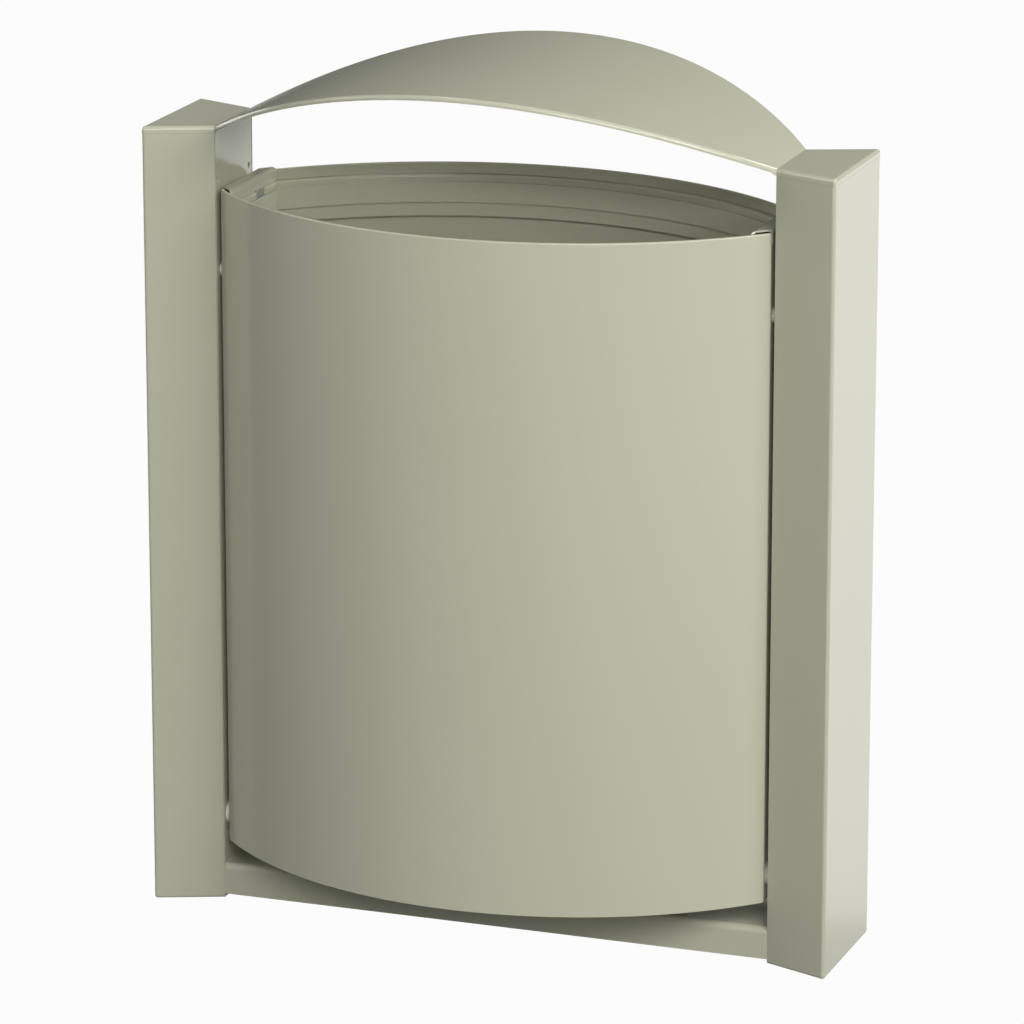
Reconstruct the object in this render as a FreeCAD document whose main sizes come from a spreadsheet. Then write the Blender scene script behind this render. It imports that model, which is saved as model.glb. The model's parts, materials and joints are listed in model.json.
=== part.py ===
import FreeCAD, Part
import math
import operator
import os
import Sketcher

# Wall-mounted waste bin: two folded posts joined by a hood and a beam, and between them a
# lens-shaped bin that tips forward on two pivots. Lengths are in millimetres.
# Every piece is drawn with y = 0 at the middle of the posts and z = 0 at their feet, x to the
# right and the front towards -y. One common placement then moves the origin to the centre of
# the wall bolts, on the wall.

SIZES = [
    ("frame_width", 640, "outside width over the two posts"),
    ("post_width", 60, "width of a post"),
    ("post_depth", 140, "depth of a post at its outer side"),
    ("post_face", 88, "depth of a post at its inner face"),
    ("post_height", 720, "height of a post with its cap"),
    ("post_sheet", 2, "sheet of a post"),
    ("post_bend", 4, "outside radius of a post's upright bends"),
    ("foot_bevel", 1.8, "bevel round a post's foot"),
    ("return_lip", 12, "width of the lips that carry the inner plate"),
    ("foot_drain", 10, "drain hole in a post's foot"),
    ("plate_sheet", 2, "sheet of the inner plate"),
    ("plate_seam", 0.5, "open seam round the inner plate"),
    ("plate_screw", 5, "screw of the inner plate"),
    ("plate_screw_hole", 5.4, "hole for that screw"),
    ("plate_screw_sink", 1.2, "depth of the screw below the plate"),
    ("plate_screw_length", 8, "length of that screw"),
    ("plate_screw_drop", 51, "inner plate's screws below the top of the post"),
    ("wall_gap", 16, "gap between the bin's rear and the wall"),
    ("wall_hole_inset", 15, "wall bolts outwards of the posts' inner faces"),
    ("wall_hole_margin", 40, "wall bolts from the ends of a rail"),
    ("wall_hole", 11, "hole for a wall bolt"),
    ("rail_sheet", 3, "sheet of a wall rail"),
    ("rail_bend", 4, "outside radius of a wall rail's bends"),
    ("rail_height", 480, "height of a wall rail"),
    ("rail_flange", 28, "wall flange of a rail"),
    ("rail_lap", 40, "lap of a rail on the back of its post"),
    ("rail_screw_margin", 60, "rail screws from the ends of a rail"),
    ("rail_screw", 8, "screw between rail and post"),
    ("rail_screw_flats", 13, "across flats of that screw and its weld nut"),
    ("rail_screw_head", 5.5, "height of that screw's head"),
    ("rail_screw_grip", 14, "length of that screw under its head"),
    ("beam_lift", 4, "underside of the beam above the feet"),
    ("beam_height", 29, "height of the beam"),
    ("beam_sheet", 2.5, "sheet of the beam"),
    ("beam_bend", 6, "outside radius of the beam's bends"),
    ("beam_end", 3, "end plate of the beam"),
    ("beam_gap", 23, "gap between the beam and the bin"),
    ("beam_bolt", 8, "bolt between beam and post"),
    ("beam_bolt_flats", 13, "across flats of that bolt and its weld nut"),
    ("beam_bolt_head", 5.5, "height of that bolt's head"),
    ("weld_nut_height", 6, "height of the weld nuts"),
    ("beam_bolt_spread", 44, "the two bolts of one end, front to back"),
    ("beam_bolt_grip", 14, "length of that bolt under its head"),
    ("hood_rise", 66, "rise of the hood's arch over its ends"),
    ("hood_bulge", 112, "swell of the hood in front of and behind the posts"),
    ("hood_sheet", 2, "sheet of the hood"),
    ("hood_lip", 6, "depth of the lip round the hood"),
    ("hood_bevel", 1.2, "bevel along the hood's lip"),
    ("hood_seam", 0.4, "seam between the hood's lip and a post"),
    ("hood_stud", 6, "stud under the hood's end"),
    ("hood_stud_length", 14, "length of that stud"),
    ("hood_nut_flats", 10, "across flats of that stud's nut"),
    ("hood_nut_height", 5, "height of that nut"),
    ("angle_sheet", 3, "sheet of the angle that holds the hood"),
    ("angle_width", 50, "width of that angle"),
    ("angle_reach", 38, "flat leg of that angle"),
    ("angle_drop", 40, "upright leg of that angle"),
    ("side_gap", 5, "gap between the bin and a post"),
    ("bin_sheet", 1.5, "sheet of the bin"),
    ("bin_setback", 2, "bin's sides shallower than the posts' inner faces, each end"),
    ("bin_bulge", 112, "swell of the bin in front of and behind its sides"),
    ("throw_gap", 57, "bin's rim below the top of the posts"),
    ("hem_height", 10, "height of the folded hem round the rim"),
    ("hem_sheet", 1.6, "thickness that the hem adds inside"),
    ("rim_bevel", 0.8, "bevel of the rim"),
    ("weld_gap", 0.2, "fit between pieces that are welded together"),
    ("flange_reach", 18, "weld flange of a side panel"),
    ("strip_rise", 4.5, "rise of the side strip above the rim"),
    ("strip_width", 15, "width of the side strip"),
    ("strip_bend", 1.4, "outside radius of the side strip's folds"),
    ("floor_sheet", 2, "sheet of the floor pan"),
    ("floor_recess", 1.5, "floor pan above the lower edge"),
    ("floor_lip", 10, "height of the floor pan"),
    ("drain_hole", 12, "drain hole in the floor pan"),
    ("drain_pitch", 120, "spacing of the drain holes"),
    ("collar_inset", 8, "bag collar inside the front and rear sheets"),
    ("collar_sheet", 1.5, "sheet of the bag collar"),
    ("collar_height", 38, "height of the bag collar"),
    ("collar_bevel", 1, "bevel of the bag collar's bend"),
    ("ring_gap", 2, "gap between bag ring and bag collar"),
    ("ring_sheet", 2, "sheet of the bag ring"),
    ("ring_height", 19, "height of the bag ring"),
    ("ring_drop", 16, "top of the bag ring below the rim"),
    ("clip_sheet", 1.2, "sheet of a ring clip"),
    ("clip_width", 16, "width of a ring clip"),
    ("clip_back", 8, "ring clip behind the middle"),
    ("clip_ledge", 6, "ledge of a ring clip under the bag ring"),
    ("clip_hook_gap", 0.5, "gap between a ring clip's hook and the side strip"),
    ("rest_gap", 0.3, "gap between a loose piece and its seat"),
    ("pivot_inset", 14, "pivot behind the front end of the bin's side"),
    ("pivot_rise", 23, "pivot above the bin's lower edge"),
    ("pivot_stud", 10, "pivot stud"),
    ("pivot_stud_reach", 22, "pivot stud beyond the inner plate"),
    ("pivot_stud_head", 6.4, "height of the pivot stud's head"),
    ("pivot_flats", 17, "across flats of the pivot stud and nut"),
    ("pivot_notch_gap", 1.7, "gap round the stud's head in the post's lip"),
    ("pivot_nut", 8, "height of the pivot nut"),
    ("pivot_washer", 20, "diameter of the pivot washer"),
    ("pivot_washer_sheet", 2, "thickness of the pivot washer"),
    ("running_gap", 0.05, "radial clearance of a turning fit"),
    ("press_gap", 0.02, "radial clearance of a pressed fit"),
    ("bush_flange", 22, "flange of the pivot bush"),
    ("bush_sleeve", 13, "sleeve of the pivot bush"),
    ("doubler_sheet", 3, "pivot doubler inside a side panel"),
    ("doubler_front", 8, "pivot doubler in front of the pivot"),
    ("doubler_back", 44, "pivot doubler behind the pivot"),
    ("doubler_height", 54, "height of the pivot doubler"),
    ("glide_drop", 75, "glide buttons below the rim"),
    ("glide_inset", 12, "glide buttons behind the front end of the bin's side"),
    ("glide_head", 14, "head of a glide button"),
    ("glide_stem", 6, "stem of a glide button"),
    ("glide_stem_length", 5, "length of that stem"),
    ("glide_slack", 0.6, "glide button to inner plate"),
    ("buffer_size", 25, "diameter of a rest buffer"),
    ("buffer_spread", 300, "rest buffers, side to side"),
    ("buffer_back", 22, "rest buffers behind the middle"),
    ("buffer_bolt", 6, "bolt of a rest buffer"),
    ("buffer_bolt_flats", 10, "across flats of that bolt"),
    ("buffer_bolt_head", 4, "height of that bolt's head"),
    ("buffer_bolt_length", 12, "length of that bolt in the beam and buffer"),
    ("lock_drop", 163, "lock below the rim"),
    ("lock_forward", 10, "lock in front of the middle"),
    ("lock_barrel", 22, "barrel of the lock case"),
    ("lock_barrel_length", 22, "length of the barrel inside the post"),
    ("lock_face_rim", 4, "face of the lock case round its barrel"),
    ("lock_face_height", 2.5, "height of that face"),
    ("lock_nut_height", 5, "ring nut of the lock case"),
    ("lock_nut_wall", 3, "wall of that nut across its flats"),
    ("lock_plug", 12, "turning plug of the lock"),
    ("lock_key", 4.5, "circle round the three-sided key stud"),
    ("lock_shaft", 8, "shaft between plug and cam"),
    ("cam_sheet", 2.5, "thickness of the lock cam"),
    ("cam_length", 24, "lock shaft to the tip of the cam"),
    ("cam_width", 12, "width of the cam"),
    ("cam_hub", 4, "straight part of the cam behind its shaft"),
    ("keeper_size", 7, "keeper stud on the bin"),
    ("keeper_drop", 17, "keeper stud below the lock"),
    ("keeper_slack", 0.8, "gap between locked cam and keeper stud"),
    ("keeper_flange", 14, "inside flange of the keeper stud"),
    ("keeper_flange_sheet", 2, "thickness of that flange"),
    ("hole_slack", 0.4, "fastener hole over its fastener, in diameter"),
]

SIDES = (("left", -1), ("right", 1))
TOLERANCE = 1e-4
SHANK_SIDES = 8
OPERATORS = {"+": operator.add, "-": operator.sub, "*": operator.mul, "/": operator.truediv}

doc = FreeCAD.newDocument("waste_bin")
sheet = doc.addObject("Spreadsheet::Sheet", "Sizes")


class Dim:
    """A size that carries its number and the sheet formula behind it."""

    def __init__(self, value, text):
        self.value = float(value)
        self.text = text

    def __add__(self, other):
        return combine(self, "+", other)

    def __radd__(self, other):
        return combine(other, "+", self)

    def __sub__(self, other):
        return combine(self, "-", other)

    def __rsub__(self, other):
        return combine(other, "-", self)

    def __mul__(self, other):
        return combine(self, "*", other)

    def __rmul__(self, other):
        return combine(other, "*", self)

    def __truediv__(self, other):
        return combine(self, "/", other)

    def __neg__(self):
        return combine(0, "-", self)


def as_dim(number):
    return number if isinstance(number, Dim) else Dim(number, repr(float(number)))


def combine(left, sign, right):
    left = as_dim(left)
    right = as_dim(right)
    value = OPERATORS[sign](left.value, right.value)
    return Dim(value, "({} {} {})".format(left.text, sign, right.text))


def root(square):
    return Dim(math.sqrt(square.value), "sqrt({})".format(square.text))


class SizeTable:
    """The sheet's cells by name."""


size = SizeTable()
for row, (alias, number, meaning) in enumerate(SIZES, start=1):
    sheet.set("A{}".format(row), meaning)
    sheet.set("B{}".format(row), str(number))
    sheet.setAlias("B{}".format(row), alias)
    setattr(size, alias, Dim(number, "Sizes.{}".format(alias)))
doc.recompute()

ZERO = as_dim(0)
parts = []


def bind(thing, name, dim):
    """Sets a property and ties it to the sheet."""
    thing.setExpression(name, dim.text)


def move(thing, x, y, z, turn=None):
    """Places an object, tied to the sheet."""
    base = FreeCAD.Vector(x.value, y.value, z.value)
    thing.Placement = FreeCAD.Placement(base, turn or FreeCAD.Rotation())
    for axis, dim in (("x", x), ("y", y), ("z", z)):
        bind(thing, "Placement.Base.{}".format(axis), dim)


def finish(thing, label):
    """Names a finished sub-part and seats it in the common frame."""
    thing.Label = label
    move(thing, ZERO, -wall_standoff, -mount_height)
    parts.append(thing)
    return thing


def new_body(name):
    return doc.addObject("PartDesign::Body", name)


def corner(x, y, radius=None, clockwise=False):
    """A point of an outline; with a radius, an arc leads to it."""
    return (as_dim(x), as_dim(y), radius, clockwise)


def arc_between(start, end, radius, clockwise):
    """The short arc from start to end."""
    if clockwise:
        start, end = end, start
    chord = end - start
    rise = math.sqrt(radius * radius - chord.Length * chord.Length / 4)
    normal = FreeCAD.Vector(-chord.y, chord.x, 0).normalize()
    centre = (start + end) * 0.5 + normal * rise
    first = math.atan2(start.y - centre.y, start.x - centre.x)
    last = math.atan2(end.y - centre.y, end.x - centre.x)
    circle = Part.Circle(centre, FreeCAD.Vector(0, 0, 1), radius)
    return Part.ArcOfCircle(circle, first, last)


def fix_point(sketch, geometry, point, x, y):
    """Ties a sketch point to its two sizes, or to an axis where a size is nothing."""
    for kind, dim, axis in (("DistanceX", x, -2), ("DistanceY", y, -1)):
        if dim.value == 0:
            sketch.addConstraint(Sketcher.Constraint("PointOnObject", geometry, point, axis))
        else:
            rule = Sketcher.Constraint(kind, -1, 1, geometry, point, dim.value)
            index = sketch.addConstraint(rule)
            bind(sketch, "Constraints[{}]".format(index), dim)


def fix_radius(sketch, geometry, radius):
    index = sketch.addConstraint(Sketcher.Constraint("Radius", geometry, radius.value))
    bind(sketch, "Constraints[{}]".format(index), radius)


def add_outline(sketch, corners):
    """Draws a closed outline of lines and arcs through its corners."""
    edges = []
    for index, (x, y, radius, clockwise) in enumerate(corners):
        before = corners[index - 1]
        start = FreeCAD.Vector(before[0].value, before[1].value, 0)
        end = FreeCAD.Vector(x.value, y.value, 0)
        if radius is None:
            edge = sketch.addGeometry(Part.LineSegment(start, end), False)
            edges.append((edge, 1, 2))
        else:
            arc = arc_between(start, end, radius.value, clockwise)
            edge = sketch.addGeometry(arc, False)
            edges.append((edge, 2, 1) if clockwise else (edge, 1, 2))
    for index, (edge, first, last) in enumerate(edges):
        following = edges[(index + 1) % len(edges)]
        joint = Sketcher.Constraint("Coincident", edge, last, following[0], following[1])
        sketch.addConstraint(joint)
        fix_point(sketch, edge, last, corners[index][0], corners[index][1])
        if corners[index][2] is not None:
            fix_radius(sketch, edge, corners[index][2])


def add_circle(sketch, x, y, diameter):
    centre = FreeCAD.Vector(x.value, y.value, 0)
    circle = Part.Circle(centre, FreeCAD.Vector(0, 0, 1), diameter.value / 2)
    edge = sketch.addGeometry(circle, False)
    fix_point(sketch, edge, 3, x, y)
    fix_radius(sketch, edge, diameter / 2)


def draw(body, plane, lift, outlines=(), circles=()):
    """A sketch on one of the body's own planes, lifted along the plane's normal."""
    sketch = body.newObject("Sketcher::SketchObject", body.Name + "_sketch")
    support = [item for item in body.Origin.OriginFeatures if item.Role == plane][0]
    sketch.AttachmentSupport = [(support, "")]
    sketch.MapMode = "FlatFace"
    offset = FreeCAD.Vector(0, 0, lift.value)
    sketch.AttachmentOffset = FreeCAD.Placement(offset, FreeCAD.Rotation())
    bind(sketch, "AttachmentOffset.Base.z", lift)
    for corners in outlines:
        add_outline(sketch, corners)
    for x, y, diameter in circles:
        add_circle(sketch, as_dim(x), as_dim(y), diameter)
    return sketch


def pad(body, sketch, length, symmetric=False, backwards=False):
    feature = body.newObject("PartDesign::Pad", body.Name + "_pad")
    feature.Profile = sketch
    feature.Length = length.value
    bind(feature, "Length", length)
    feature.SideType = "Symmetric" if symmetric else "One side"
    feature.Reversed = backwards
    doc.recompute()
    return feature


def cut_through(body, sketch):
    """Cuts a sketch right through the body, both ways from its plane."""
    before = body.Shape.Volume
    feature = body.newObject("PartDesign::Pocket", body.Name + "_pocket")
    feature.Profile = sketch
    feature.Type = "ThroughAll"
    feature.SideType = "Symmetric"
    doc.recompute()
    require_cut(body, before)


def cut_depth(body, sketch, length, forwards):
    """Cuts a sketch to a depth, along its normal or against it."""
    before = body.Shape.Volume
    feature = body.newObject("PartDesign::Pocket", body.Name + "_pocket")
    feature.Profile = sketch
    feature.Length = length.value
    bind(feature, "Length", length)
    feature.Reversed = forwards
    doc.recompute()
    require_cut(body, before)


def require_cut(body, before):
    if not body.Shape.Volume < before:
        raise RuntimeError("a pocket of {} cuts nothing".format(body.Name))


def dress_edges(body, kind, measure, dim, wanted):
    """Dresses the edges of the body's last feature that the test picks."""
    base = body.Tip
    names = [
        "Edge{}".format(index)
        for index, edge in enumerate(base.Shape.Edges, start=1)
        if wanted(edge)
    ]
    if not names:
        raise RuntimeError("no edge to dress on {}".format(body.Name))
    feature = body.newObject("PartDesign::" + kind, body.Name + "_edges")
    feature.Base = (base, names)
    setattr(feature, measure, dim.value)
    bind(feature, measure, dim)
    doc.recompute()


def round_edges(body, radius, wanted):
    dress_edges(body, "Fillet", "Radius", radius, wanted)


def bevel_edges(body, width, wanted):
    dress_edges(body, "Chamfer", "Size", width, wanted)


def near(first, second):
    return abs(first - second) < TOLERANCE


def is_upright(edge, places):
    """True for an upright edge at one of the (x, y) places."""
    box = edge.BoundBox
    thin = near(box.XLength, 0) and near(box.YLength, 0)
    return thin and any(near(box.XMin, x.value) and near(box.YMin, y.value) for x, y in places)


def is_level(edge, z):
    box = edge.BoundBox
    return near(box.ZLength, 0) and near(box.ZMin, z.value)


ALONG = {
    "x": FreeCAD.Rotation(FreeCAD.Vector(0, 1, 0), 90),
    "-x": FreeCAD.Rotation(FreeCAD.Vector(0, 1, 0), -90),
    "z": FreeCAD.Rotation(),
    "-z": FreeCAD.Rotation(FreeCAD.Vector(1, 0, 0), 180),
}


def rod(name, diameter, length, x=ZERO, y=ZERO, z=ZERO, along="z"):
    """A cylinder from a point along a direction."""
    cylinder = doc.addObject("Part::Cylinder", name)
    bind(cylinder, "Radius", diameter / 2)
    bind(cylinder, "Height", length)
    move(cylinder, as_dim(x), as_dim(y), as_dim(z), ALONG[along])
    return cylinder


def prism(name, sides, radius, height, x=ZERO, y=ZERO, z=ZERO, along="z"):
    """A prism with this many sides from a point along a direction, radius at its corners."""
    solid = doc.addObject("Part::Prism", name)
    solid.Polygon = sides
    bind(solid, "Circumradius", radius)
    bind(solid, "Height", height)
    move(solid, as_dim(x), as_dim(y), as_dim(z), ALONG[along])
    return solid


def hexagon(name, flats, height, x=ZERO, y=ZERO, z=ZERO, along="z"):
    """A hexagon head or nut from a point along a direction."""
    return prism(name, 6, flats / root(as_dim(3)), height, x, y, z, along)


def shank(name, diameter, length, x=ZERO, y=ZERO, z=ZERO, along="z"):
    """Shank of a small fastener, with few sides, inside its hole."""
    return prism(name, SHANK_SIDES, diameter / 2, length, x, y, z, along)


def thread(name, diameter, length, x=ZERO, y=ZERO, z=ZERO, along="z"):
    """Hole of a small fastener, tapped or clear, with few sides, round its shank."""
    corner_radius = diameter / (2 * math.cos(math.pi / SHANK_SIDES))
    return prism(name, SHANK_SIDES, corner_radius, length, x, y, z, along)


def fuse(name, pieces):
    result = doc.addObject("Part::MultiFuse", name)
    result.Shapes = pieces
    doc.recompute()
    return result


def cut(name, base, tools):
    """Takes tools away from a base."""
    tool = tools[0] if len(tools) == 1 else fuse(name + "_tools", tools)
    result = doc.addObject("Part::Cut", name)
    result.Base = base
    result.Tool = tool
    doc.recompute()
    return result


def common(name, first, second):
    result = doc.addObject("Part::Common", name)
    result.Base = first
    result.Tool = second
    doc.recompute()
    return result


def copies(label, model, places):
    """One node of equal pieces: copies of a model, each at (x, y, z, turn)."""
    links = []
    for x, y, z, turn in places:
        link = doc.addObject("App::Link", label + "_copy")
        link.LinkedObject = model
        move(link, as_dim(x), as_dim(y), as_dim(z), turn)
        links.append(link)
    return group(label, links)


def group(label, pieces):
    """One node of several separate pieces."""
    result = doc.addObject("Part::Compound", label)
    result.Links = pieces
    doc.recompute()
    return finish(result, label)


# Shared places of the frame
mount_height = size.post_height / 2
post_outer_x = size.frame_width / 2
post_inner_x = post_outer_x - size.post_width
post_outer_y = size.post_depth / 2
post_inner_y = size.post_face / 2
post_slope = (post_outer_y - post_inner_y) / size.post_width
post_stretch = root(1 + post_slope * post_slope)
post_wall = size.post_sheet * post_stretch
plate_back_x = post_inner_x + size.plate_sheet
lip_back_x = plate_back_x + size.post_sheet
lip_edge_y = post_inner_y - post_wall - size.return_lip
plate_half_depth = post_inner_y - post_wall - size.plate_seam
plate_screw_y = post_inner_y - post_wall - size.return_lip / 2
plate_top = size.post_height - size.hood_sheet - size.hood_seam
shell_top = size.post_height - size.hood_lip - size.hood_seam
beam_top = size.beam_lift + size.beam_height
beam_bolt_z = size.beam_lift + (size.beam_height - size.beam_sheet) / 2
rail_bottom = mount_height - size.rail_height / 2
wall_hole_x = post_inner_x + size.wall_hole_inset
wall_hole_rise = size.rail_height / 2 - size.wall_hole_margin
rail_screw_rise = size.rail_height / 2 - size.rail_screw_margin
rail_screw_x = post_inner_x + (size.rail_sheet + size.rail_lap) / 2
rail_screw_heights = [mount_height + way * rail_screw_rise for way in (-1, 1)]
hood_stud_x = post_outer_x - size.post_sheet - size.angle_reach / 2
hood_under = size.post_height - size.hood_sheet
arch_radius = (post_inner_x * post_inner_x + size.hood_rise * size.hood_rise) / (2 * size.hood_rise)
arch_centre_z = size.post_height + size.hood_rise - arch_radius
plate_screw_z = size.post_height - size.plate_screw_drop

# Shared places of the bin
bin_x = post_inner_x - size.side_gap
bin_y = post_inner_y - size.bin_setback
wall_standoff = bin_y + size.bin_bulge + size.wall_gap
bin_radius = (bin_x * bin_x + size.bin_bulge * size.bin_bulge) / (2 * size.bin_bulge)
bin_arc_y = bin_radius - size.bin_bulge - bin_y
rim_z = size.post_height - size.throw_gap
bin_lift = beam_top + size.beam_gap
bin_height = rim_z - bin_lift
floor_z = bin_lift + size.floor_recess
side_inner_x = bin_x - size.bin_sheet
doubler_inner_x = side_inner_x - size.doubler_sheet
hem_z = rim_z - size.hem_height
collar_top = hem_z - size.weld_gap
collar_x = bin_x - size.strip_width
collar_radius = bin_radius - size.collar_inset
flange_top = collar_top - size.collar_sheet - size.weld_gap
weld_radius = bin_radius - size.bin_sheet - size.weld_gap
ring_x = collar_x - size.collar_sheet - size.ring_gap
ring_radius = collar_radius - size.collar_sheet - size.ring_gap
ring_bottom = rim_z - size.ring_drop - size.ring_height
strip_top = rim_z + size.strip_rise
pivot_forward = bin_y - size.pivot_inset
pivot_z = bin_lift + size.pivot_rise
pivot_notch = 2 * size.pivot_flats / root(as_dim(3)) + 2 * size.pivot_notch_gap
glide_forward = bin_y - size.glide_inset
glide_z = rim_z - size.glide_drop
lock_z = rim_z - size.lock_drop
bush_hole = size.bush_sleeve + 2 * size.press_gap
stud_hole = size.pivot_stud + size.hole_slack
glide_hole = size.glide_stem + 2 * size.press_gap
keeper_hole = size.keeper_size + 2 * size.press_gap
keeper_y = -size.lock_forward + size.cam_width / 2 + size.keeper_slack + size.keeper_size / 2
keeper_z = lock_z - size.keeper_drop


def lens_y(radius, x):
    """Half depth of the lens with this radius at a distance x from the middle."""
    return root(radius * radius - x * x) - bin_arc_y


def lens(radius, half_width):
    """Lens outline: two equal arcs about the bin's arc centres, cut off at both sides."""
    half_depth = lens_y(radius, half_width)
    return [
        corner(-half_width, -half_depth),
        corner(half_width, -half_depth, radius),
        corner(half_width, half_depth),
        corner(-half_width, half_depth, radius),
    ]


def arc_band(radius, sheet_depth, front):
    """Outline of a curved sheet along the front (-1) or rear (1) of the lens, ends cut square."""
    inner = radius - sheet_depth
    outer_x = bin_x * radius / bin_radius
    inner_x = bin_x * inner / bin_radius
    turn = front < 0
    return [
        corner(-outer_x, front * lens_y(radius, outer_x)),
        corner(outer_x, front * lens_y(radius, outer_x), radius, not turn),
        corner(inner_x, front * lens_y(inner, inner_x)),
        corner(-inner_x, front * lens_y(inner, inner_x), inner, turn),
    ]


def rear_face_y(x):
    """Outer surface of a post's slanted rear wall at a distance x from the middle."""
    return post_inner_y + (x - post_inner_x) * post_slope


def plate_screw_places(side):
    return [(side * post_inner_x, way * plate_screw_y, plate_screw_z) for way in (-1, 1)]


def rail_normal(side):
    """Direction that points backwards out of a post's slanted rear wall."""
    return FreeCAD.Vector(-side * post_slope.value, 1, 0)


def rail_screw_places(side):
    turn = FreeCAD.Rotation(FreeCAD.Vector(0, 0, 1), rail_normal(side))
    along_normal = size.rail_sheet / post_stretch
    x = side * (rail_screw_x - along_normal * post_slope)
    y = rear_face_y(rail_screw_x) + along_normal
    return [(x, y, height, turn) for height in rail_screw_heights]


def rail_nut_places(side):
    depth = (size.rail_sheet + size.post_sheet) / post_stretch
    return [
        (x + side * depth * post_slope, y - depth, z, turn)
        for x, y, z, turn in rail_screw_places(side)
    ]


# Posts: a folded shell with a closed foot and weld nuts, open at its top and on its inner side
def post_shell(label, side):
    body = new_body(label + "_folded")
    half = [
        (post_inner_x, post_inner_y - post_wall),
        (plate_back_x, rear_face_y(plate_back_x) - post_wall),
        (plate_back_x, lip_edge_y),
        (lip_back_x, lip_edge_y),
        (lip_back_x, rear_face_y(lip_back_x) - post_wall),
    ]
    inner_corner_x = post_outer_x - size.post_sheet
    inner_corner_y = rear_face_y(inner_corner_x) - post_wall
    outside = [
        (post_inner_x, -post_inner_y),
        (post_outer_x, -post_outer_y),
        (post_outer_x, post_outer_y),
        (post_inner_x, post_inner_y),
    ]
    inside = half + [(inner_corner_x, inner_corner_y), (inner_corner_x, -inner_corner_y)]
    inside = inside + [(x, -y) for x, y in reversed(half)]
    outline = [corner(side * x, y) for x, y in outside + inside]
    pad(body, draw(body, "XY_Plane", ZERO, [outline]), shell_top)
    foot = [corner(side * x, y) for x, y in outside]
    drain = [(side * (post_inner_x + size.post_width / 2), ZERO, size.foot_drain)]
    pad(body, draw(body, "XY_Plane", ZERO, [foot], drain), size.post_sheet)
    bends = [(side * post_outer_x, way * post_outer_y) for way in (-1, 1)]
    round_edges(body, size.post_bend, lambda edge: is_upright(edge, bends))
    folds = [(side * inner_corner_x, way * inner_corner_y) for way in (-1, 1)]
    round_edges(body, size.post_bend - size.post_sheet, lambda edge: is_upright(edge, folds))

    def round_the_foot(edge):
        box = edge.BoundBox
        inner_side = near(box.XLength, 0) and near(abs(box.XMin), post_inner_x.value)
        hole = isinstance(edge.Curve, Part.Circle) and edge.isClosed()
        return is_level(edge, ZERO) and not inner_side and not hole

    bevel_edges(body, size.foot_bevel, round_the_foot)
    tools = []
    for x, y, z in plate_screw_places(side):
        tools.append(thread(label + "_thread", size.plate_screw + 2 * size.running_gap,
                            2 * (lip_back_x - post_inner_x), x, y, z, "x" if side > 0 else "-x"))
    tools.append(thread(label + "_notch", pivot_notch, 2 * (lip_back_x - post_inner_x),
                        side * post_inner_x, -pivot_forward, pivot_z,
                        "x" if side > 0 else "-x"))
    for x, y, z, turn in rail_screw_places(side):
        hole = thread(label + "_thread", size.rail_screw + 2 * size.press_gap, 4 * size.rail_screw)
        reach = 2 * size.rail_screw / post_stretch
        move(hole, x + side * reach * post_slope, y - reach, z, turn)
        tools.append(hole)
    if side < 0:
        tools.append(rod(label + "_hole", size.lock_barrel + size.hole_slack,
                         size.lock_barrel_length, -post_outer_x, -size.lock_forward,
                         lock_z, "x"))
    nuts = []
    for x, y, z, turn in rail_nut_places(side):
        nut = hexagon(label + "_nut", size.rail_screw_flats, size.weld_nut_height)
        move(nut, x, y, z, turn.multiply(ALONG["-z"]))
        nuts.append(nut)
    return finish(cut(label, fuse(label + "_welded", [body] + nuts), tools), label)


def post_inner_plate(label, side):
    """Plate with weld nuts that closes a post and carries beam and pivot."""
    body = new_body(label + "_flat")
    outline = [
        corner(-plate_half_depth, size.post_sheet),
        corner(plate_half_depth, size.post_sheet),
        corner(plate_half_depth, plate_top),
        corner(-plate_half_depth, plate_top),
    ]
    holes = [(y, z, size.plate_screw_hole) for x, y, z in plate_screw_places(side)]
    if side < 0:
        shaft_hole = size.lock_shaft + 2 * size.running_gap
        holes.append((-size.lock_forward, lock_z, shaft_hole))
    sketch = draw(body, "YZ_Plane", side * post_inner_x, [outline], holes)
    pad(body, sketch, size.plate_sheet, backwards=side < 0)
    outwards = "x" if side > 0 else "-x"
    nuts = []
    threads = [thread(label + "_stud_hole", stud_hole, 2 * size.plate_sheet, side * post_inner_x,
                      -pivot_forward, pivot_z, outwards)]
    for way in (-1, 1):
        y = way * size.beam_bolt_spread / 2
        nuts.append(hexagon(label + "_nut", size.beam_bolt_flats, size.weld_nut_height,
                            side * plate_back_x, y, beam_bolt_z, outwards))
        threads.append(thread(label + "_thread", size.beam_bolt + 2 * size.press_gap,
                              2 * size.beam_bolt_grip, side * post_inner_x, y, beam_bolt_z,
                              outwards))
    welded = fuse(label + "_welded", [body] + nuts)
    return finish(cut(label, welded, threads), label)


def inner_plate_screws():
    """Sunk screws that hold the inner plates to the lips of the posts."""
    screws = []
    for name, side in SIDES:
        for x, y, z in plate_screw_places(side):
            start = x + side * size.plate_screw_sink
            screws.append(shank("plate_screw", size.plate_screw, size.plate_screw_length,
                                start, y, z, "x" if side > 0 else "-x"))
    return group("inner_plate_screws", screws)


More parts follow.
